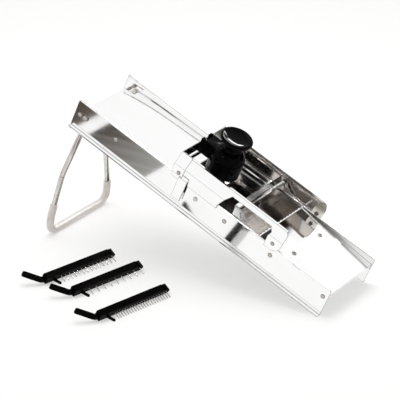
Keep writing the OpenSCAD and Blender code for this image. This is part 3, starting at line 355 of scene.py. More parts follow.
@dataclass(frozen=True)
class MouldedPlastic(Finish):
    """Plastic as it came out of a steel mould: faint flow marks, fine orange peel and paler rubbed edges."""

    peel_mm: float = 1.4
    peel_strength: float = 0.08
    uneven: float = 0.05
    edge_colour: str = "#2A2A2B"
    reflects: float = 0.5

    def shade(self, tree: bpy.types.NodeTree, surface: bpy.types.Node) -> None:
        """Gives the plastic its peel, its uneven gloss and its edges."""
        place = self.place(tree, Lay.ACROSS)
        peel = self.streaks(tree, place, self.peel_mm, self.peel_mm, 2)
        flow = self.streaks(tree, place, 18, 9, 2)
        edges = self.rubbed_and_shaded_edges(tree, 0.35)
        tree.links.new(self.tint(tree, edges, self.edge_colour), surface.inputs["Base Color"])
        gloss = self.spread(tree, flow, self.roughness - self.uneven, self.roughness + self.uneven)
        tree.links.new(gloss, surface.inputs["Roughness"])
        surface.inputs["IOR"].default_value = 1.5
        surface.inputs["Specular IOR Level"].default_value = self.reflects
        tree.links.new(self.raise_grain(tree, peel, 0.05, self.peel_strength), surface.inputs["Normal"])


@dataclass(frozen=True)
class ExtrudedVinyl(Finish):
    """Milky clear vinyl tube: light goes some way in, and handling has dulled it in patches."""

    def shade(self, tree: bpy.types.NodeTree, surface: bpy.types.Node) -> None:
        """Lets part of the light through and gives the tube its soft dull patches."""
        place = self.place(tree, Lay.ACROSS)
        patches = self.streaks(tree, place, 16, 7, 2)
        dents = self.streaks(tree, place, 5, 3, 2)
        tree.links.new(self.tint(tree, self.spread(tree, patches, 0.0, 0.7), "#DCD4CE"), surface.inputs["Base Color"])
        tree.links.new(self.spread(tree, patches, 0.28, 0.46), surface.inputs["Roughness"])
        surface.inputs["IOR"].default_value = 1.53
        surface.inputs["Transmission Weight"].default_value = 0.18
        tree.links.new(self.raise_grain(tree, dents, 0.12, 0.25), surface.inputs["Normal"])


# Mirror-buffed 18/10 sheet: nearly white, and sharp reflections with a faint grain along the rolling
POLISHED_SHEET = RolledStainless("stainless_sheet_mirror_buffed", "#FBFBFB", 0.05)
# The same sheet on the small formed parts, a little duller where the press tool has touched it
PRESSED_SHEET = RolledStainless(
    "stainless_sheet_pressed", "#EFEFEF", 0.09, wave_strength=0.03, smear=0.05, shade_colour="#D9D8D6"
)
# The far cheek: the same sheet made darker all over, painted shade for the dark throat inside the carriage
SHADED_CHEEK_SHEET = RolledStainless("stainless_sheet_painted_shade", "#D4CFCA", 0.06, smear=0.05, shade_colour="#B5AEA8")
# Brushed bars and strips inside: a plain grain from wall to wall
BRUSHED_BAR = RolledStainless(
    "stainless_bar_brushed", "#D8D8D7", 0.24, lay=Lay.ACROSS, grain_strength=0.2, wave_strength=0.05,
    shade_colour="#BDBCBA",
)
# Hardened strip ground across the edge: short bright lines square to the blade
GROUND_BLADE = RolledStainless(
    "blade_steel_ground", "#B3ACA6", 0.14, grain_mm=0.7, grain_strength=0.22, shade_colour="#938C86"
)
# Turned heads and nuts: small and softly blurred, with a near-black edge band that is painted shade round each head
# where it meets the sheet
TURNED_STEEL = RolledStainless(
    "stainless_turned", "#C9C4BD", 0.1, lay=Lay.ACROSS, grain_mm=0.5, grain_strength=0.15, shade_colour="#9E978F",
    edge_colour="#14110F", edge_mm=1.4,
)
# Bright drawn rod: drawing lines run along it
DRAWN_WIRE = RolledStainless(
    "steel_wire_bright_drawn", "#E4E0DC", 0.1, lay=Lay.ALONG_LEGS, grain_mm=1.1, grain_strength=0.2,
    drawn_lines=0.35, shade_colour="#A89F96",
)
# Thin drawn pins
DRAWN_PIN = RolledStainless(
    "steel_pin_drawn", "#CFCBC5", 0.22, lay=Lay.ACROSS, grain_mm=0.4, grain_strength=0.1, shade_colour="#A8A29B"
)
# Glossy black phenolic moulding, deep black with soft flow marks
GLOSS_BLACK = MouldedPlastic(
    "phenolic_moulded_gloss_black", "#030303", 0.05, peel_mm=3.0, peel_strength=0.04, uneven=0.015, reflects=0.03,
    edge_colour="#0C0C0C",
)
# Satin black nylon moulding of the combs
SATIN_BLACK = MouldedPlastic(
    "nylon_moulded_satin_black", "#050404", 0.3, peel_mm=0.9, peel_strength=0.2, uneven=0.06, reflects=0.01,
    edge_colour="#0B0A0A",
)
# Natural nylon runners
WHITE_NYLON = MouldedPlastic(
    "nylon_moulded_natural", "#E9E6DE", 0.38, peel_mm=1.2, peel_strength=0.2, edge_colour="#F3F1EC"
)
# Milky clear sleeve on the stand
CLEAR_VINYL = ExtrudedVinyl("vinyl_extruded_milky", "#F0EAE5", 0.34)


def dress(names: list[str], finish: Finish) -> None:
    """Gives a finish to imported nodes.

    Args:
        names: Names of the nodes.
        finish: The finish that all of them get.
    """
    for name in names:
        node = frame["nodes"][name]
        node.data.materials.clear()
        node.data.materials.append(finish.material())
        log.info("node %s: %s", name, finish.name)


def make_piece(name: str, mesh: bmesh.types.BMesh, finish: Finish, body: str) -> bpy.types.Object:
    """Turns a finished bmesh into a piece that rides on a body.

    Args:
        name: The piece's name.
        mesh: Its mesh in the row frame, in metres. It is freed.
        finish: Its finish.
        body: The body that carries it.

    Returns:
        The piece.
    """
    bmesh.ops.recalc_face_normals(mesh, faces=mesh.faces)
    for face in mesh.faces:
        face.smooth = True
    for edge in mesh.edges:
        if len(edge.link_faces) == 2 and edge.calc_face_angle() > math.radians(38):
            edge.smooth = False
    data = bpy.data.meshes.new(name)
    mesh.to_mesh(data)
    mesh.free()
    piece = bpy.data.objects.new(name, data)
    bpy.context.scene.collection.objects.link(piece)
    data.materials.append(finish.material())
    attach(piece, body)
    log.info("piece %s: %d faces on %s", name, len(data.polygons), body)
    return piece


def lathe(mesh: bmesh.types.BMesh, profile: Profile, place: Matrix, steps: int = 96) -> None:
    """Turns a profile round the z axis.

    Args:
        mesh: The mesh that gets the surface.
        profile: Radius and height of each point, in millimetres; it starts and ends on the axis.
        place: Takes the turned form to the row frame.
        steps: Number of flats round the form.
    """
    rings = []
    for radius, height in profile:
        if radius < 1e-6:
            rings.append([mesh.verts.new(place @ Vector((0, 0, height * MM)))])
            continue
        rings.append([
            mesh.verts.new(
                place
                @ (Vector((radius * math.cos(2 * math.pi * k / steps), radius * math.sin(2 * math.pi * k / steps), height)) * MM)
            )
            for k in range(steps)
        ])
    for low, high in zip(rings, rings[1:]):
        for k in range(steps):
            a, b = low[k % len(low)], low[(k + 1) % len(low)]
            c, d = high[(k + 1) % len(high)], high[k % len(high)]
            corners = list(dict.fromkeys((a, b, c, d)))
            if len(corners) > 2:
                mesh.faces.new(corners)


def arc(centre: tuple[float, float], radius: float, start: float, end: float, steps: int) -> Profile:
    """Returns points on an arc.

    Args:
        centre: Its centre.
        radius: Its radius.
        start: Angle of its first point, in degrees.
        end: Angle of its last point, in degrees.
        steps: Number of steps between them.

    Returns:
        The points.
    """
    angles = [math.radians(start + (end - start) * k / steps) for k in range(steps + 1)]
    return [(centre[0] + radius * math.cos(a), centre[1] + radius * math.sin(a)) for a in angles]


def round_corners(corners: Path, radii: list[float], steps: int = 10) -> Path:
    """Rounds the corners of a path.

    Args:
        corners: The path's corners, in millimetres.
        radii: Radius at each corner; the ends have 0.
        steps: Number of steps round each corner.

    Returns:
        The smooth path.
    """
    smooth = [corners[0]]
    for before, corner, after, radius in zip(corners, corners[1:], corners[2:], radii[1:]):
        arrive, leave = (before - corner).normalized(), (after - corner).normalized()
        half = arrive.angle(leave) / 2
        cut = radius / math.tan(half)
        start, end = corner + arrive * cut, corner + leave * cut
        middle = corner + (arrive + leave).normalized() * (radius / math.sin(half))
        for k in range(steps + 1):
            share = k / steps
            smooth.append(middle + (start - middle).slerp(end - middle, share) * radius)
    smooth.append(corners[-1])
    return smooth


def sweep(mesh: bmesh.types.BMesh, path: Path, radii: list[float], sides: int = 28) -> list[list[bmesh.types.BMVert]]:
    """Draws a round section along a path.

    Args:
        mesh: The mesh that gets the surface.
        path: Points of the path, in millimetres of the row frame.
        radii: Radius at each point.
        sides: Number of flats round the section.

    Returns:
        The rings of vertices, one for each point.
    """
    rings = []
    side = Vector((0, 1, 0))
    for k, point in enumerate(path):
        ahead = path[min(k + 1, len(path) - 1)] - path[max(k - 1, 0)]
        ahead.normalize()
        side = (side - ahead * side.dot(ahead)).normalized() if abs(side.dot(ahead)) < 0.95 else ahead.orthogonal().normalized()
        other = ahead.cross(side)
        rings.append([
            mesh.verts.new(
                (point + (side * math.cos(2 * math.pi * i / sides) + other * math.sin(2 * math.pi * i / sides)) * radii[k])
                * MM
            )
            for i in range(sides)
        ])
    for low, high in zip(rings, rings[1:]):
        for i in range(sides):
            j = (i + 1) % sides
            mesh.faces.new((low[i], low[j], high[j], high[i]))
    return rings


@dataclass
class SideWalls:
    """The two side walls with all that is fixed to them."""

    def build(self) -> None:
        """Dresses the walls, the outlet deck, the rods and what is under the decks."""
        dress(["near_wall", "far_wall", "outlet_deck"], POLISHED_SHEET)
        dress(["outlet_brace", "comb_channel", "blade_holder", "blade_ledges", "stand_stops"], BRUSHED_BAR)
        dress(["tie_rods", "deck_hinge_rod", "ring_rivets", "blade_screws"], TURNED_STEEL)
        dress(["blade_clamp", "straight_blade", "serrated_blade"], GROUND_BLADE)


@dataclass
class InletDeck:
    """The long deck and the cams that tilt it."""

    def build(self) -> None:
        """Dresses the deck, the cam shaft, the cams and the lever."""
        dress(["inlet_deck"], POLISHED_SHEET)
        dress(["cam_shaft", "cam_lever"], BRUSHED_BAR)
        dress(["cams", "lever_knob"], GLOSS_BLACK)


@dataclass
class WireStand:
    """The folding stand: one bent wire in a clear sleeve, with a cap at each pivot."""

    wire_d: float = 7.0
    sleeve_d: float = 9.8
    inset: float = 6.25
    cap_h: float = 2.8
    lean: float = math.radians(2.2)
    upper_l: float = 102.3
    bend: float = math.radians(16.5)
    splay_l: float = 54.0
    splay_w: float = 14.0
    foot_r: float = 13.0
    pivot_r: float = 4.2
    kink_r: float = 24.0
    near_sleeve: float = 16.0
    far_sleeve: float = 6.0

    def corners(self) -> Path:
        """Returns the wire's corners in the row frame, in millimetres."""
        pivot = SLOPE.point(SLOPE.pivot_s, 0, SLOPE.pivot_z) / MM
        near, far = pivot.y + self.inset, pivot.y + BODY_W - self.inset
        turn = SLOPE.slope + self.lean
        upper = Vector((-math.sin(turn), 0, -math.cos(turn)))
        lower = Vector((-math.sin(turn - self.bend), 0, -math.cos(turn - self.bend)))
        kink = pivot + upper * self.upper_l
        splayed = kink + lower * self.splay_l
        foot = kink + lower * ((kink.z - self.sleeve_d / 2) / -lower.z)
        levels = [(pivot, 0.0), (kink, 0.0), (splayed, self.splay_w), (foot, self.splay_w)]
        down = [Vector((p.x, near - out, p.z)) for p, out in levels]
        rise = [Vector((p.x, far + out, p.z)) for p, out in reversed(levels)]
        ends = (Vector((pivot.x, pivot.y - self.cap_h / 2, pivot.z)), Vector((pivot.x, pivot.y + BODY_W + self.cap_h / 2, pivot.z)))
        return [ends[0], *down, *rise, ends[1]]

    def wire_path(self) -> Path:
        """Returns the whole wire's smooth path."""
        radii = [0, self.pivot_r, self.kink_r, self.kink_r, self.foot_r, self.foot_r, self.kink_r, self.kink_r, self.pivot_r, 0]
        return round_corners(self.corners(), radii)

    def sleeve_path(self) -> Path:
        """Returns the sleeve's smooth path, which starts and ends on the lower legs."""
        c = self.corners()
        start = c[3] + (c[2] - c[3]).normalized() * self.near_sleeve
        end = c[6] + (c[7] - c[6]).normalized() * self.far_sleeve
        leg_r = min(self.kink_r, self.far_sleeve * 3)
        return round_corners([start, c[3], c[4], c[5], c[6], end], [0, leg_r, self.foot_r, self.foot_r, leg_r, 0])

    def build(self) -> None:
        """Makes the wire and its sleeve, and dresses the caps."""
        mesh = bmesh.new()
        path = self.wire_path()
        rings = sweep(mesh, path, [self.wire_d / 2] * len(path))
        for ring in (rings[0], rings[-1]):
            mesh.faces.new(ring)
        wire = make_piece("stand_wire_bent", mesh, DRAWN_WIRE, "stand")
        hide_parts("stand_wire")
        mesh = bmesh.new()
        path = self.sleeve_path()
        outer, inner = self.sleeve_d / 2, self.wire_d / 2 + 0.06
        lips = [outer - 0.5, outer - 0.12]
        radii = [lips[0], lips[1]] + [outer] * (len(path) - 2) + [lips[1], lips[0]]
        nudge = 0.35
        first, last = (path[1] - path[0]).normalized() * nudge, (path[-1] - path[-2]).normalized() * nudge
        whole = [path[0], path[0] + first, *path[1:-1], path[-1] - last, path[-1]]
        outside = sweep(mesh, whole, radii)
        inside = sweep(mesh, whole, [inner] * len(whole))
        for near, far in ((outside[0], inside[0]), (outside[-1], inside[-1])):
            for i in range(len(near)):
                j = (i + 1) % len(near)
                mesh.faces.new((near[i], near[j], far[j], far[i]))
        sleeve = make_piece("stand_sleeve_clear", mesh, CLEAR_VINYL, "stand")
        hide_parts("stand_sleeve")
        dress(["stand_caps"], TURNED_STEEL)


@dataclass
class Carriage:
    """The hand carriage: cheeks, end plate, bridge, feet, runners and the pusher's rail."""

    def build(self) -> None:
        """Dresses the carriage."""
        dress(["near_cheek", "end_plate", "guide_tabs"], POLISHED_SHEET)
        # The far cheek's darker sheet is painted shade for the dark throat of the carriage
        dress(["far_cheek"], SHADED_CHEEK_SHEET)
        dress(["bridge", "bridge_feet", "guide_rail"], PRESSED_SHEET)
        dress(["runner_bolts", "end_plate_rivets"], TURNED_STEEL)
        dress(["slide_runners"], WHITE_NYLON)


@dataclass
class Pusher:
    """The round black pusher with its arm and its dished knob."""

    axis_s: float = 210.0
    low_z: float = 44.6
    body_r: float = 21.5
    side_h: float = 21.0
    shoulder_h: float = 14.0
    neck_r: float = 9.0
    neck_h: float = 5.4
    knob_r: float = 21.0
    knob_h: float = 15.0
    rim_r: float = 2.6
    dish: float = 2.2
    arm_w: float = 22.0
    arm_low: float = 55.0
    arm_high: float = 74.6
    arm_back_s: float = 247.7
    rail_front_s: float = 242.1
    rail_back_s: float = 244.3
    rail_w: float = 14.6
    web_w: float = 8.6

    def place(self) -> Matrix:
        """Returns the matrix that takes the pusher's own axis to the row frame."""
        return SLOPE.matrix() @ Matrix.Translation(Vector((-self.axis_s, SLOPE.mid_w, self.low_z)) * MM)

    def body_profile(self) -> Profile:
        """Returns the body's outline, from the middle of its underside to the top of its neck."""
        top = self.side_h + self.shoulder_h
        dome = [
            (
                self.neck_r + 1.2 + (self.body_r - self.neck_r - 1.2) * math.cos(math.radians(a)),
                self.side_h + self.shoulder_h * math.sin(math.radians(a)),
            )
            for a in range(0, 80, 4)
        ]
        neck = [(self.neck_r + 0.9, top - 0.1), (self.neck_r + 0.3, top + 0.5), (self.neck_r, top + 1.4), (self.neck_r, top + self.neck_h)]
        foot = arc((self.body_r - 1.5, 1.5), 1.5, -90, 0, 6)
        return [(0, 0), (self.body_r - 4, 0), *foot, *dome, *neck, (0, top + self.neck_h)]

    def knob_profile(self) -> Profile:
        """Returns the knob's outline, from the middle of its underside to the middle of its dish."""
        low = self.side_h + self.shoulder_h + self.neck_h
        flare_z = self.knob_h - self.rim_r
        under = [
            (
                self.knob_r - (self.knob_r - self.neck_r - 1) * math.cos(math.radians(a)),
                1 + (flare_z - self.rim_r) * math.sin(math.radians(a)) * 0.85,
            )
            for a in range(0, 88, 6)
        ]
        rim = arc((self.knob_r - self.rim_r, flare_z), self.rim_r, -50, 90, 14)
        dish_r = self.knob_r - self.rim_r
        dish = [
            (dish_r * (1 - t), self.knob_h - self.dish * (1 - (1 - t) ** 3))
            for t in (0.06, 0.12, 0.2, 0.3, 0.45, 0.65, 0.85)
        ]
        outline = [(0, 0), (self.neck_r + 1, 0), *under, *rim, *dish, (0, self.knob_h - self.dish)]
        return [(r, z + low) for r, z in outline]

    def arm(self, mesh: bmesh.types.BMesh) -> None:
        """Adds the arm, whose back is slotted for the carriage's rail.

        Args:
            mesh: The mesh that gets the arm.
        """
        half, rail, web = self.arm_w / 2, self.rail_w / 2, self.web_w / 2
        s0, s1, s2, s3 = self.axis_s + 8, self.rail_front_s - 0.3, self.rail_back_s, self.arm_back_s
        outline = [
            (s0, -half), (s3, -half), (s3, -web), (s2, -web), (s2, -rail), (s1, -rail),
            (s1, rail), (s2, rail), (s2, web), (s3, web), (s3, half), (s0, half),
        ]
        local = SLOPE.matrix()
        low = [mesh.verts.new(local @ (Vector((-s, SLOPE.mid_w + w, self.arm_low)) * MM)) for s, w in outline]
        face = mesh.faces.new(low)
        grown = bmesh.ops.extrude_face_region(mesh, geom=[face])
        rise = local.to_3x3() @ Vector((0, 0, (self.arm_high - self.arm_low) * MM))
        bmesh.ops.translate(mesh, vec=rise, verts=[v for v in grown["geom"] if isinstance(v, bmesh.types.BMVert)])
        sharp = [e for e in mesh.edges if len(e.link_faces) == 2 and e.calc_face_angle(0) > 1]
        bmesh.ops.bevel(mesh, geom=sharp, offset=0.6 * MM, segments=3, profile=0.5, affect="EDGES", clamp_overlap=True)

    def build(self) -> None:
        """Makes the body with its arm and the knob, and dresses the stud and the food pins."""
        mesh = bmesh.new()
        self.arm(mesh)
        lathe(mesh, self.body_profile(), self.place())
        body = make_piece("pusher_body_moulded", mesh, GLOSS_BLACK, "pusher")
        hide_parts("pusher_body")
        mesh = bmesh.new()
        lathe(mesh, self.knob_profile(), self.place())
        knob = make_piece("pusher_knob_turned", mesh, GLOSS_BLACK, "pusher")
        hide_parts("pusher_knob")
        dress(["pusher_stud"], TURNED_STEEL)
        dress(["pusher_pins"], DRAWN_PIN)


@dataclass
class Comb:
    """One loose comb: a black bar and a row of pointed pins."""

    number: int
    pins: int
    length: float = 110.0
    thickness: float = 9.0
    first_x: float = 22.0
    last_gap: float = 7.0
    pin_l: float = 10.6
    pin_d: float = 1.06
    lean: float = math.radians(30)
    turn: float = math.radians(76.2)

    def place(self) -> Matrix:
        """Returns the matrix that takes the comb's own frame to the row frame."""
        low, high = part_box(f"comb_{self.number}_pins_set")
        turned = Matrix.Rotation(self.turn, 4, "Z") @ Matrix.Rotation(self.lean, 4, "X")
        corners = [
            turned @ (Vector((x, y, self.pin_z() + z)) * MM)
            for x in (self.first_x, self.length - self.last_gap)
            for y in (-self.pin_l, 3.5)
            for z in (-self.pin_d / 2, self.pin_d / 2)
        ]
        middle = Vector([(min(c[i] for c in corners) + max(c[i] for c in corners)) / 2 for i in range(2)] + [0])
        shift = Vector(((low.x + high.x) / 2 - middle.x, (low.y + high.y) / 2 - middle.y, 0))
        return Matrix.Translation(shift) @ turned

    def pin_z(self) -> float:
        """Returns the height of the pins in the comb's own frame."""
        return self.pin_l * math.tan(self.lean) + 0.55

    def build(self) -> None:
        """Dresses the bar and makes the pointed pins."""
        dress([f"comb_{self.number}_bar"], SATIN_BLACK)
        mesh = bmesh.new()
        place = self.place()
        r = self.pin_d / 2
        profile = [(0, -3.4), (r, -3.4), (r, self.pin_l - 2.2), (r * 0.85, self.pin_l - 1.4), (r * 0.45, self.pin_l - 0.5), (0, self.pin_l)]
        for k in range(self.pins):
            x = self.first_x + k * (self.length - self.last_gap - self.first_x) / (self.pins - 1)
            lay = Matrix.Translation(Vector((x, 0, self.pin_z())) * MM) @ Matrix.Rotation(math.radians(90), 4, "X")
            lathe(mesh, profile, place @ lay, 14)
        pins = make_piece(f"comb_{self.number}_pins_pointed", mesh, DRAWN_PIN, f"comb_{self.number}")
        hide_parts(f"comb_{self.number}_pins_set")


@dataclass(frozen=True)
class Card:
    """An emitting card that only glossy rays see: it paints dark and bright reflections into chrome and gloss, and no
    camera, diffuse light or shadow sees it.
    """

    name: str
    centre: tuple[float, float, float]
    size: tuple[float, float]
    turn: tuple[float, float, float]
    colour: str
    far_colour: str
    strength: float = 1.0
    # Uneven streaks across the painted reflection
    reflection_streaks: float = 0.0
    soft: float = 0.0


@dataclass
class Studio:
    """Pale floor, soft lamps, cards that paint dark and bright reflections, and the camera at the photograph's angle.
    """

    floor_colour: str = "#F7F6F5"
    floor_share: float = 0.45
    mirror_share: float = 0.85
    world_strength: float = 0.72
    azimuth: float = math.radians(34.07)
    elevation: float = math.radians(24.94)
    distance: float = 2.58
    lens: float = 190.7

    def floor(self) -> None:
        """Makes the pale floor, which looks white and keeps the object's shadow."""
        mesh = bmesh.new()
        bmesh.ops.create_grid(mesh, x_segments=8, y_segments=8, size=6.0)
        data = bpy.data.meshes.new("studio_floor")
        mesh.to_mesh(data)
        mesh.free()
        floor = bpy.data.objects.new("studio_floor", data)
        bpy.context.scene.collection.objects.link(floor)
        paper = bpy.data.materials.new("paper_matte_white")
        paper.use_nodes = True
        tree = paper.node_tree
        surface = next(n for n in tree.nodes if n.type == "BSDF_PRINCIPLED")
        surface.inputs["Base Color"].default_value = linear(self.floor_colour)
        surface.inputs["Roughness"].default_value = 0.9
        surface.inputs["Specular IOR Level"].default_value = 0.1
        white = add_node(tree, "ShaderNodeEmission", {"Color": (1, 1, 1, 1), "Strength": 1.0}, {})
        mixed = add_node(
            tree,
            "ShaderNodeMixShader",
            {},
            {0: self.seen(tree, self.floor_share, self.mirror_share), 1: surface.outputs["BSDF"], 2: white.outputs["Emission"]},
        )
        output = next(n for n in tree.nodes if n.type == "OUTPUT_MATERIAL")
        tree.links.new(mixed.outputs["Shader"], output.inputs["Surface"])
        data.materials.append(paper)

    def seen(self, tree: bpy.types.NodeTree, camera: float, mirror: float) -> bpy.types.NodeSocket:
        """Returns a share that depends on who looks: the camera, a mirror or glass, or plain light.

        Args:
            tree: The node tree that gets the nodes.
            camera: The camera's share.
            mirror: The share of a mirror and of glass; plain light has none.

        Returns:
            The share.
        """
        path = add_node(tree, "ShaderNodeLightPath", {}, {})
        shiny = add_node(
            tree,
            "ShaderNodeMath",
            {"operation": "MAXIMUM"},
            {0: path.outputs["Is Glossy Ray"], 1: path.outputs["Is Transmission Ray"]},
        )
        direct = add_node(
            tree, "ShaderNodeMath", {"operation": "MULTIPLY", 1: camera}, {0: path.outputs["Is Camera Ray"]}
        )
        total = add_node(
            tree,
            "ShaderNodeMath",
            {"operation": "MULTIPLY_ADD", 1: mirror},
            {0: shiny.outputs["Value"], 2: direct.outputs["Value"]},
        )
        return total.outputs["Value"]

    def world(self) -> None:
        """Makes the world: white where it is seen, and a plain soft light everywhere else."""
        world = bpy.data.worlds.new("studio_world")
        bpy.context.scene.world = world
        world.use_nodes = True
        tree = world.node_tree
        back = next(n for n in tree.nodes if n.type == "BACKGROUND")
        back.inputs["Color"].default_value = (1, 1, 1, 1)
        back.inputs["Strength"].default_value = self.world_strength
        white = add_node(tree, "ShaderNodeBackground", {"Color": (1, 1, 1, 1), "Strength": 1.0}, {})
        mixed = add_node(
            tree,
            "ShaderNodeMixShader",
            {},
            {0: self.seen(tree, 1.0, 1.0), 1: back.outputs["Background"], 2: white.outputs["Background"]},
        )
        output = next(n for n in tree.nodes if n.type == "OUTPUT_WORLD")
        tree.links.new(mixed.outputs["Shader"], output.inputs["Surface"])

    def lamp(self, name: str, place: Vector, aim: Vector, size: float, power: float) -> None:
        """Makes one softbox.

        Args:
            name: Its name.
            place: Where it hangs, in metres.
            aim: The point that it faces.
            size: Length of its sides.
            power: Its power in watts.
        """
        data = bpy.data.lights.new(name, "AREA")
        data.shape = "SQUARE"
        data.size = size
        data.energy = power
        lamp = bpy.data.objects.new(name, data)
        bpy.context.scene.collection.objects.link(lamp)
        lamp.location = place
        lamp.rotation_mode = "QUATERNION"
        lamp.rotation_quaternion = (place - aim).to_track_quat("Z", "Y")

    def card(self, card: Card) -> None:
        """Stands one card up that only glossy rays see: its glow is a painted reflection in polished surfaces.

        Args:
            card: The card's place, size and colours.
        """
        mesh = bmesh.new()
        bmesh.ops.create_grid(mesh, x_segments=1, y_segments=1, size=0.5)
        bmesh.ops.scale(mesh, vec=(card.size[0], card.size[1], 1), verts=mesh.verts)
        data = bpy.data.meshes.new(card.name)
        mesh.to_mesh(data)
        mesh.free()
        board = bpy.data.objects.new(card.name, data)
        bpy.context.scene.collection.objects.link(board)
        board.location = card.centre
        board.rotation_euler = [math.radians(a) for a in card.turn]
        # Its glow is a painted reflection: dark on the dark cards, bright on the bright ones
        painted_reflection = bpy.data.materials.new(card.name + "_felt")
        painted_reflection.use_nodes = True
        tree = painted_reflection.node_tree
        place = add_node(tree, "ShaderNodeTexCoord", {}, {})
        split = add_node(tree, "ShaderNodeSeparateXYZ", {}, {0: place.outputs["Generated"]})
        stretched = add_node(tree, "ShaderNodeMapping", {"Scale": (0.4, 11.0, 1.0)}, {0: place.outputs["Generated"]})
        reflection_streaks = add_node(
            tree, "ShaderNodeTexNoise", {"Scale": 1.0, "Detail": 3.0}, {"Vector": stretched.outputs["Vector"]}
        )
        uneven = add_node(
            tree,
            "ShaderNodeMapRange",
            {"From Min": 0.3, "From Max": 0.7, "To Min": -card.reflection_streaks, "To Max": card.reflection_streaks},
            {"Value": reflection_streaks.outputs["Fac"]},
        )
        share = add_node(
            tree,
            "ShaderNodeMath",
            {"operation": "ADD", "use_clamp": True},
            {0: split.outputs["X"], 1: uneven.outputs["Result"]},
        )
        shade = add_node(
            tree,
            "ShaderNodeMix",
            {"data_type": "RGBA", 6: linear(card.colour), 7: linear(card.far_colour)},
            {"Factor": share.outputs["Value"]},
        )
        faded = shade.outputs[2]
        if card.soft > 0:
            faded = self.fade(tree, place.outputs["Generated"], card.soft, faded)
        glow = add_node(tree, "ShaderNodeEmission", {"Strength": card.strength}, {"Color": faded})
        output = next(n for n in tree.nodes if n.type == "OUTPUT_MATERIAL")
        tree.links.new(glow.outputs["Emission"], output.inputs["Surface"])
        data.materials.append(painted_reflection)
        board.visible_camera = False
        board.visible_diffuse = False
        board.visible_shadow = False
        board.visible_transmission = False

    def fade(
        self, tree: bpy.types.NodeTree, place: bpy.types.NodeSocket, soft: float, inner: bpy.types.NodeSocket
    ) -> bpy.types.NodeSocket:
        """Returns a card's colour, faded to white towards its edges.

        Args:
            tree: The card's node tree.
            place: Coordinates from 0 to 1 over the card.
            soft: Share of the card's half width over which it fades.
            inner: Colour in its middle.

        Returns:
            The faded colour.
        """
        centred = add_node(
            tree, "ShaderNodeVectorMath", {"operation": "MULTIPLY_ADD", 1: (2, 2, 0), 2: (-1, -1, 0)}, {0: place}
        )
        away = add_node(tree, "ShaderNodeVectorMath", {"operation": "ABSOLUTE"}, {0: centred.outputs["Vector"]})
        split = add_node(tree, "ShaderNodeSeparateXYZ", {}, {0: away.outputs["Vector"]})
        edge = add_node(
            tree, "ShaderNodeMath", {"operation": "MAXIMUM"}, {0: split.outputs["X"], 1: split.outputs["Y"]}
        )
        mask = add_node(
            tree,
            "ShaderNodeMapRange",
            {"interpolation_type": "SMOOTHSTEP", "From Min": 1 - soft, "From Max": 1.0},
            {"Value": edge.outputs["Value"]},
        )
        mixed = add_node(
            tree, "ShaderNodeMix", {"data_type": "RGBA", 7: (1, 1, 1, 1)}, {"Factor": mask.outputs["Result"], 6: inner}
        )
        return mixed.outputs[2]

    def camera(self) -> None:
        """Places the camera as the photograph's perspective gives it."""
        data = bpy.data.cameras.new("photo_camera")
        data.lens = self.lens
        data.sensor_width = 36.0
        data.clip_end = 50.0
        camera = bpy.data.objects.new("photo_camera", data)
        bpy.context.scene.collection.objects.link(camera)
        a, e = self.azimuth, self.elevation
        back = Vector((math.sin(a) * math.cos(e), -math.cos(a) * math.cos(e), math.sin(e)))
        aim = SLOPE.point(0, 0, WALL_H)
        aim = Vector((aim.x + (-179.2 - WALL_H * math.sin(SLOPE.slope)) * MM, aim.y + 11.8 * MM, 100 * MM))
        camera.location = aim + back * self.distance
        camera.rotation_mode = "QUATERNION"
        camera.rotation_quaternion = (-back).to_track_quat("-Z", "Y")
        bpy.context.scene.camera = camera

    def build(self) -> None:
        """Sets up the whole studio."""
        self.floor()
        self.world()
        self.lamp("softbox_top", Vector((-0.25, 0.25, 1.5)), Vector((0, 0.08, 0)), 1.1, 12.0)
        behind = tuple(SLOPE.point(172, 132, 104))
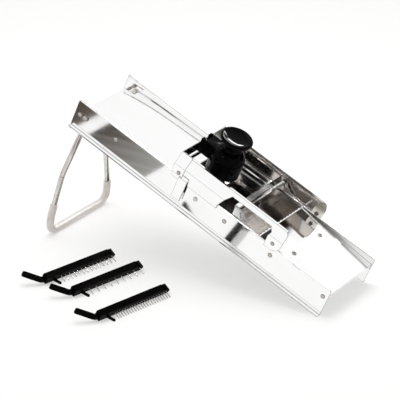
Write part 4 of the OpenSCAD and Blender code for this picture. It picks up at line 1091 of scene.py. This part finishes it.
        # Cards that only glossy rays see, each a painted reflection: they light nothing and cast no shadow
        for card in (
            # Dark cards on the floor: painted dark patches in what the steel reflects of the floor
            Card("card_floor_left", (-0.282, -0.245, 0.002), (0.152, 0.17), (0, 0, 0), "#4C4641", "#A3A19D", reflection_streaks=0.35),
            Card("card_floor_near_leg", (-0.07, 0.075, 0.002), (0.26, 0.045), (0, 0, 18), "#3A332D", "#3A332D"),
            Card("card_floor_far_leg", (-0.07, 0.18, 0.002), (0.26, 0.045), (0, 0, 18), "#3A332D", "#3A332D"),
            Card("card_floor_outside", (-0.283, -0.07, 0.002), (0.2, 0.035), (0, 0, 50), "#5A524B", "#5A524B"),
            Card("card_floor_edge", (-0.44, -0.33, 0.002), (0.1, 0.13), (0, 0, 0), "#41372E", "#585048"),
            Card("card_floor_back_low", (0.15, 0.33, 0.002), (0.2, 0.15), (0, 0, 0), "#6B655F", "#C9C5C1", reflection_streaks=0.3),
            Card("card_floor_back_high", (-0.13, 0.42, 0.002), (0.16, 0.2), (0, 0, 0), "#A3A09C", "#57514C", reflection_streaks=0.3),
            Card("card_floor_upper_end", (-0.52, 0.09, 0.002), (0.2, 0.3), (0, 0, 0), "#A39E99", "#4C4641", soft=0.3),
            Card("card_overhead", (-0.3, 0.08, 1.35), (0.9, 0.8), (0, 0, 0), "#9A9894", "#C2C0BD", soft=0.4),
            Card("card_upper_end_high", (-1.5, 0.08, 0.75), (0.6, 0.9), (0, 90, 0), "#8F8C88", "#C2C0BD", soft=0.4),
            # Before the low end, high: painted dark lines on the far wall's inner side and along the near wall's foot
            Card("card_front_high", (0.46, -0.8, 1.085), (0.8, 0.6), (90, 0, 0), "#1A1410", "#6E655E"),
            # Close behind the carriage: painted dark reflection in the throat and on the rim of the knob's dish
            Card("card_behind_carriage", behind, (0.125, 0.07), (-52, 23.7, 0), "#0E0A08", "#1E1814", soft=0.22),
            # Small and bright: painted highlights, the crescent in the knob's dish, the shine of the bridge and glints
            # on edges
            Card("card_bright_back", (-0.02, 1.25, 0.72), (0.7, 0.18), (-60, 0, 0), "#FFFFFF", "#FFFFFF", 75.0),
            Card("card_bright_front", (0.12, -0.71, 1.05), (0.06, 0.06), (45, 0, 0), "#FFFFFF", "#FFFFFF", 90.0),
        ):
            self.card(card)
        self.camera()
        bpy.context.scene.view_settings.view_transform = "Standard"


def main() -> None:
    """Builds the object piece by piece, then the studio."""
    logging.basicConfig(level=logging.INFO, format="%(message)s")
    for part in (
        SideWalls(), InletDeck(), WireStand(), Carriage(), Pusher(), Comb(1, 14), Comb(2, 9), Comb(3, 22), Studio()
    ):
        part.build()
        log.info("built %s", type(part).__name__)


if __name__ == "__main__":
    main()
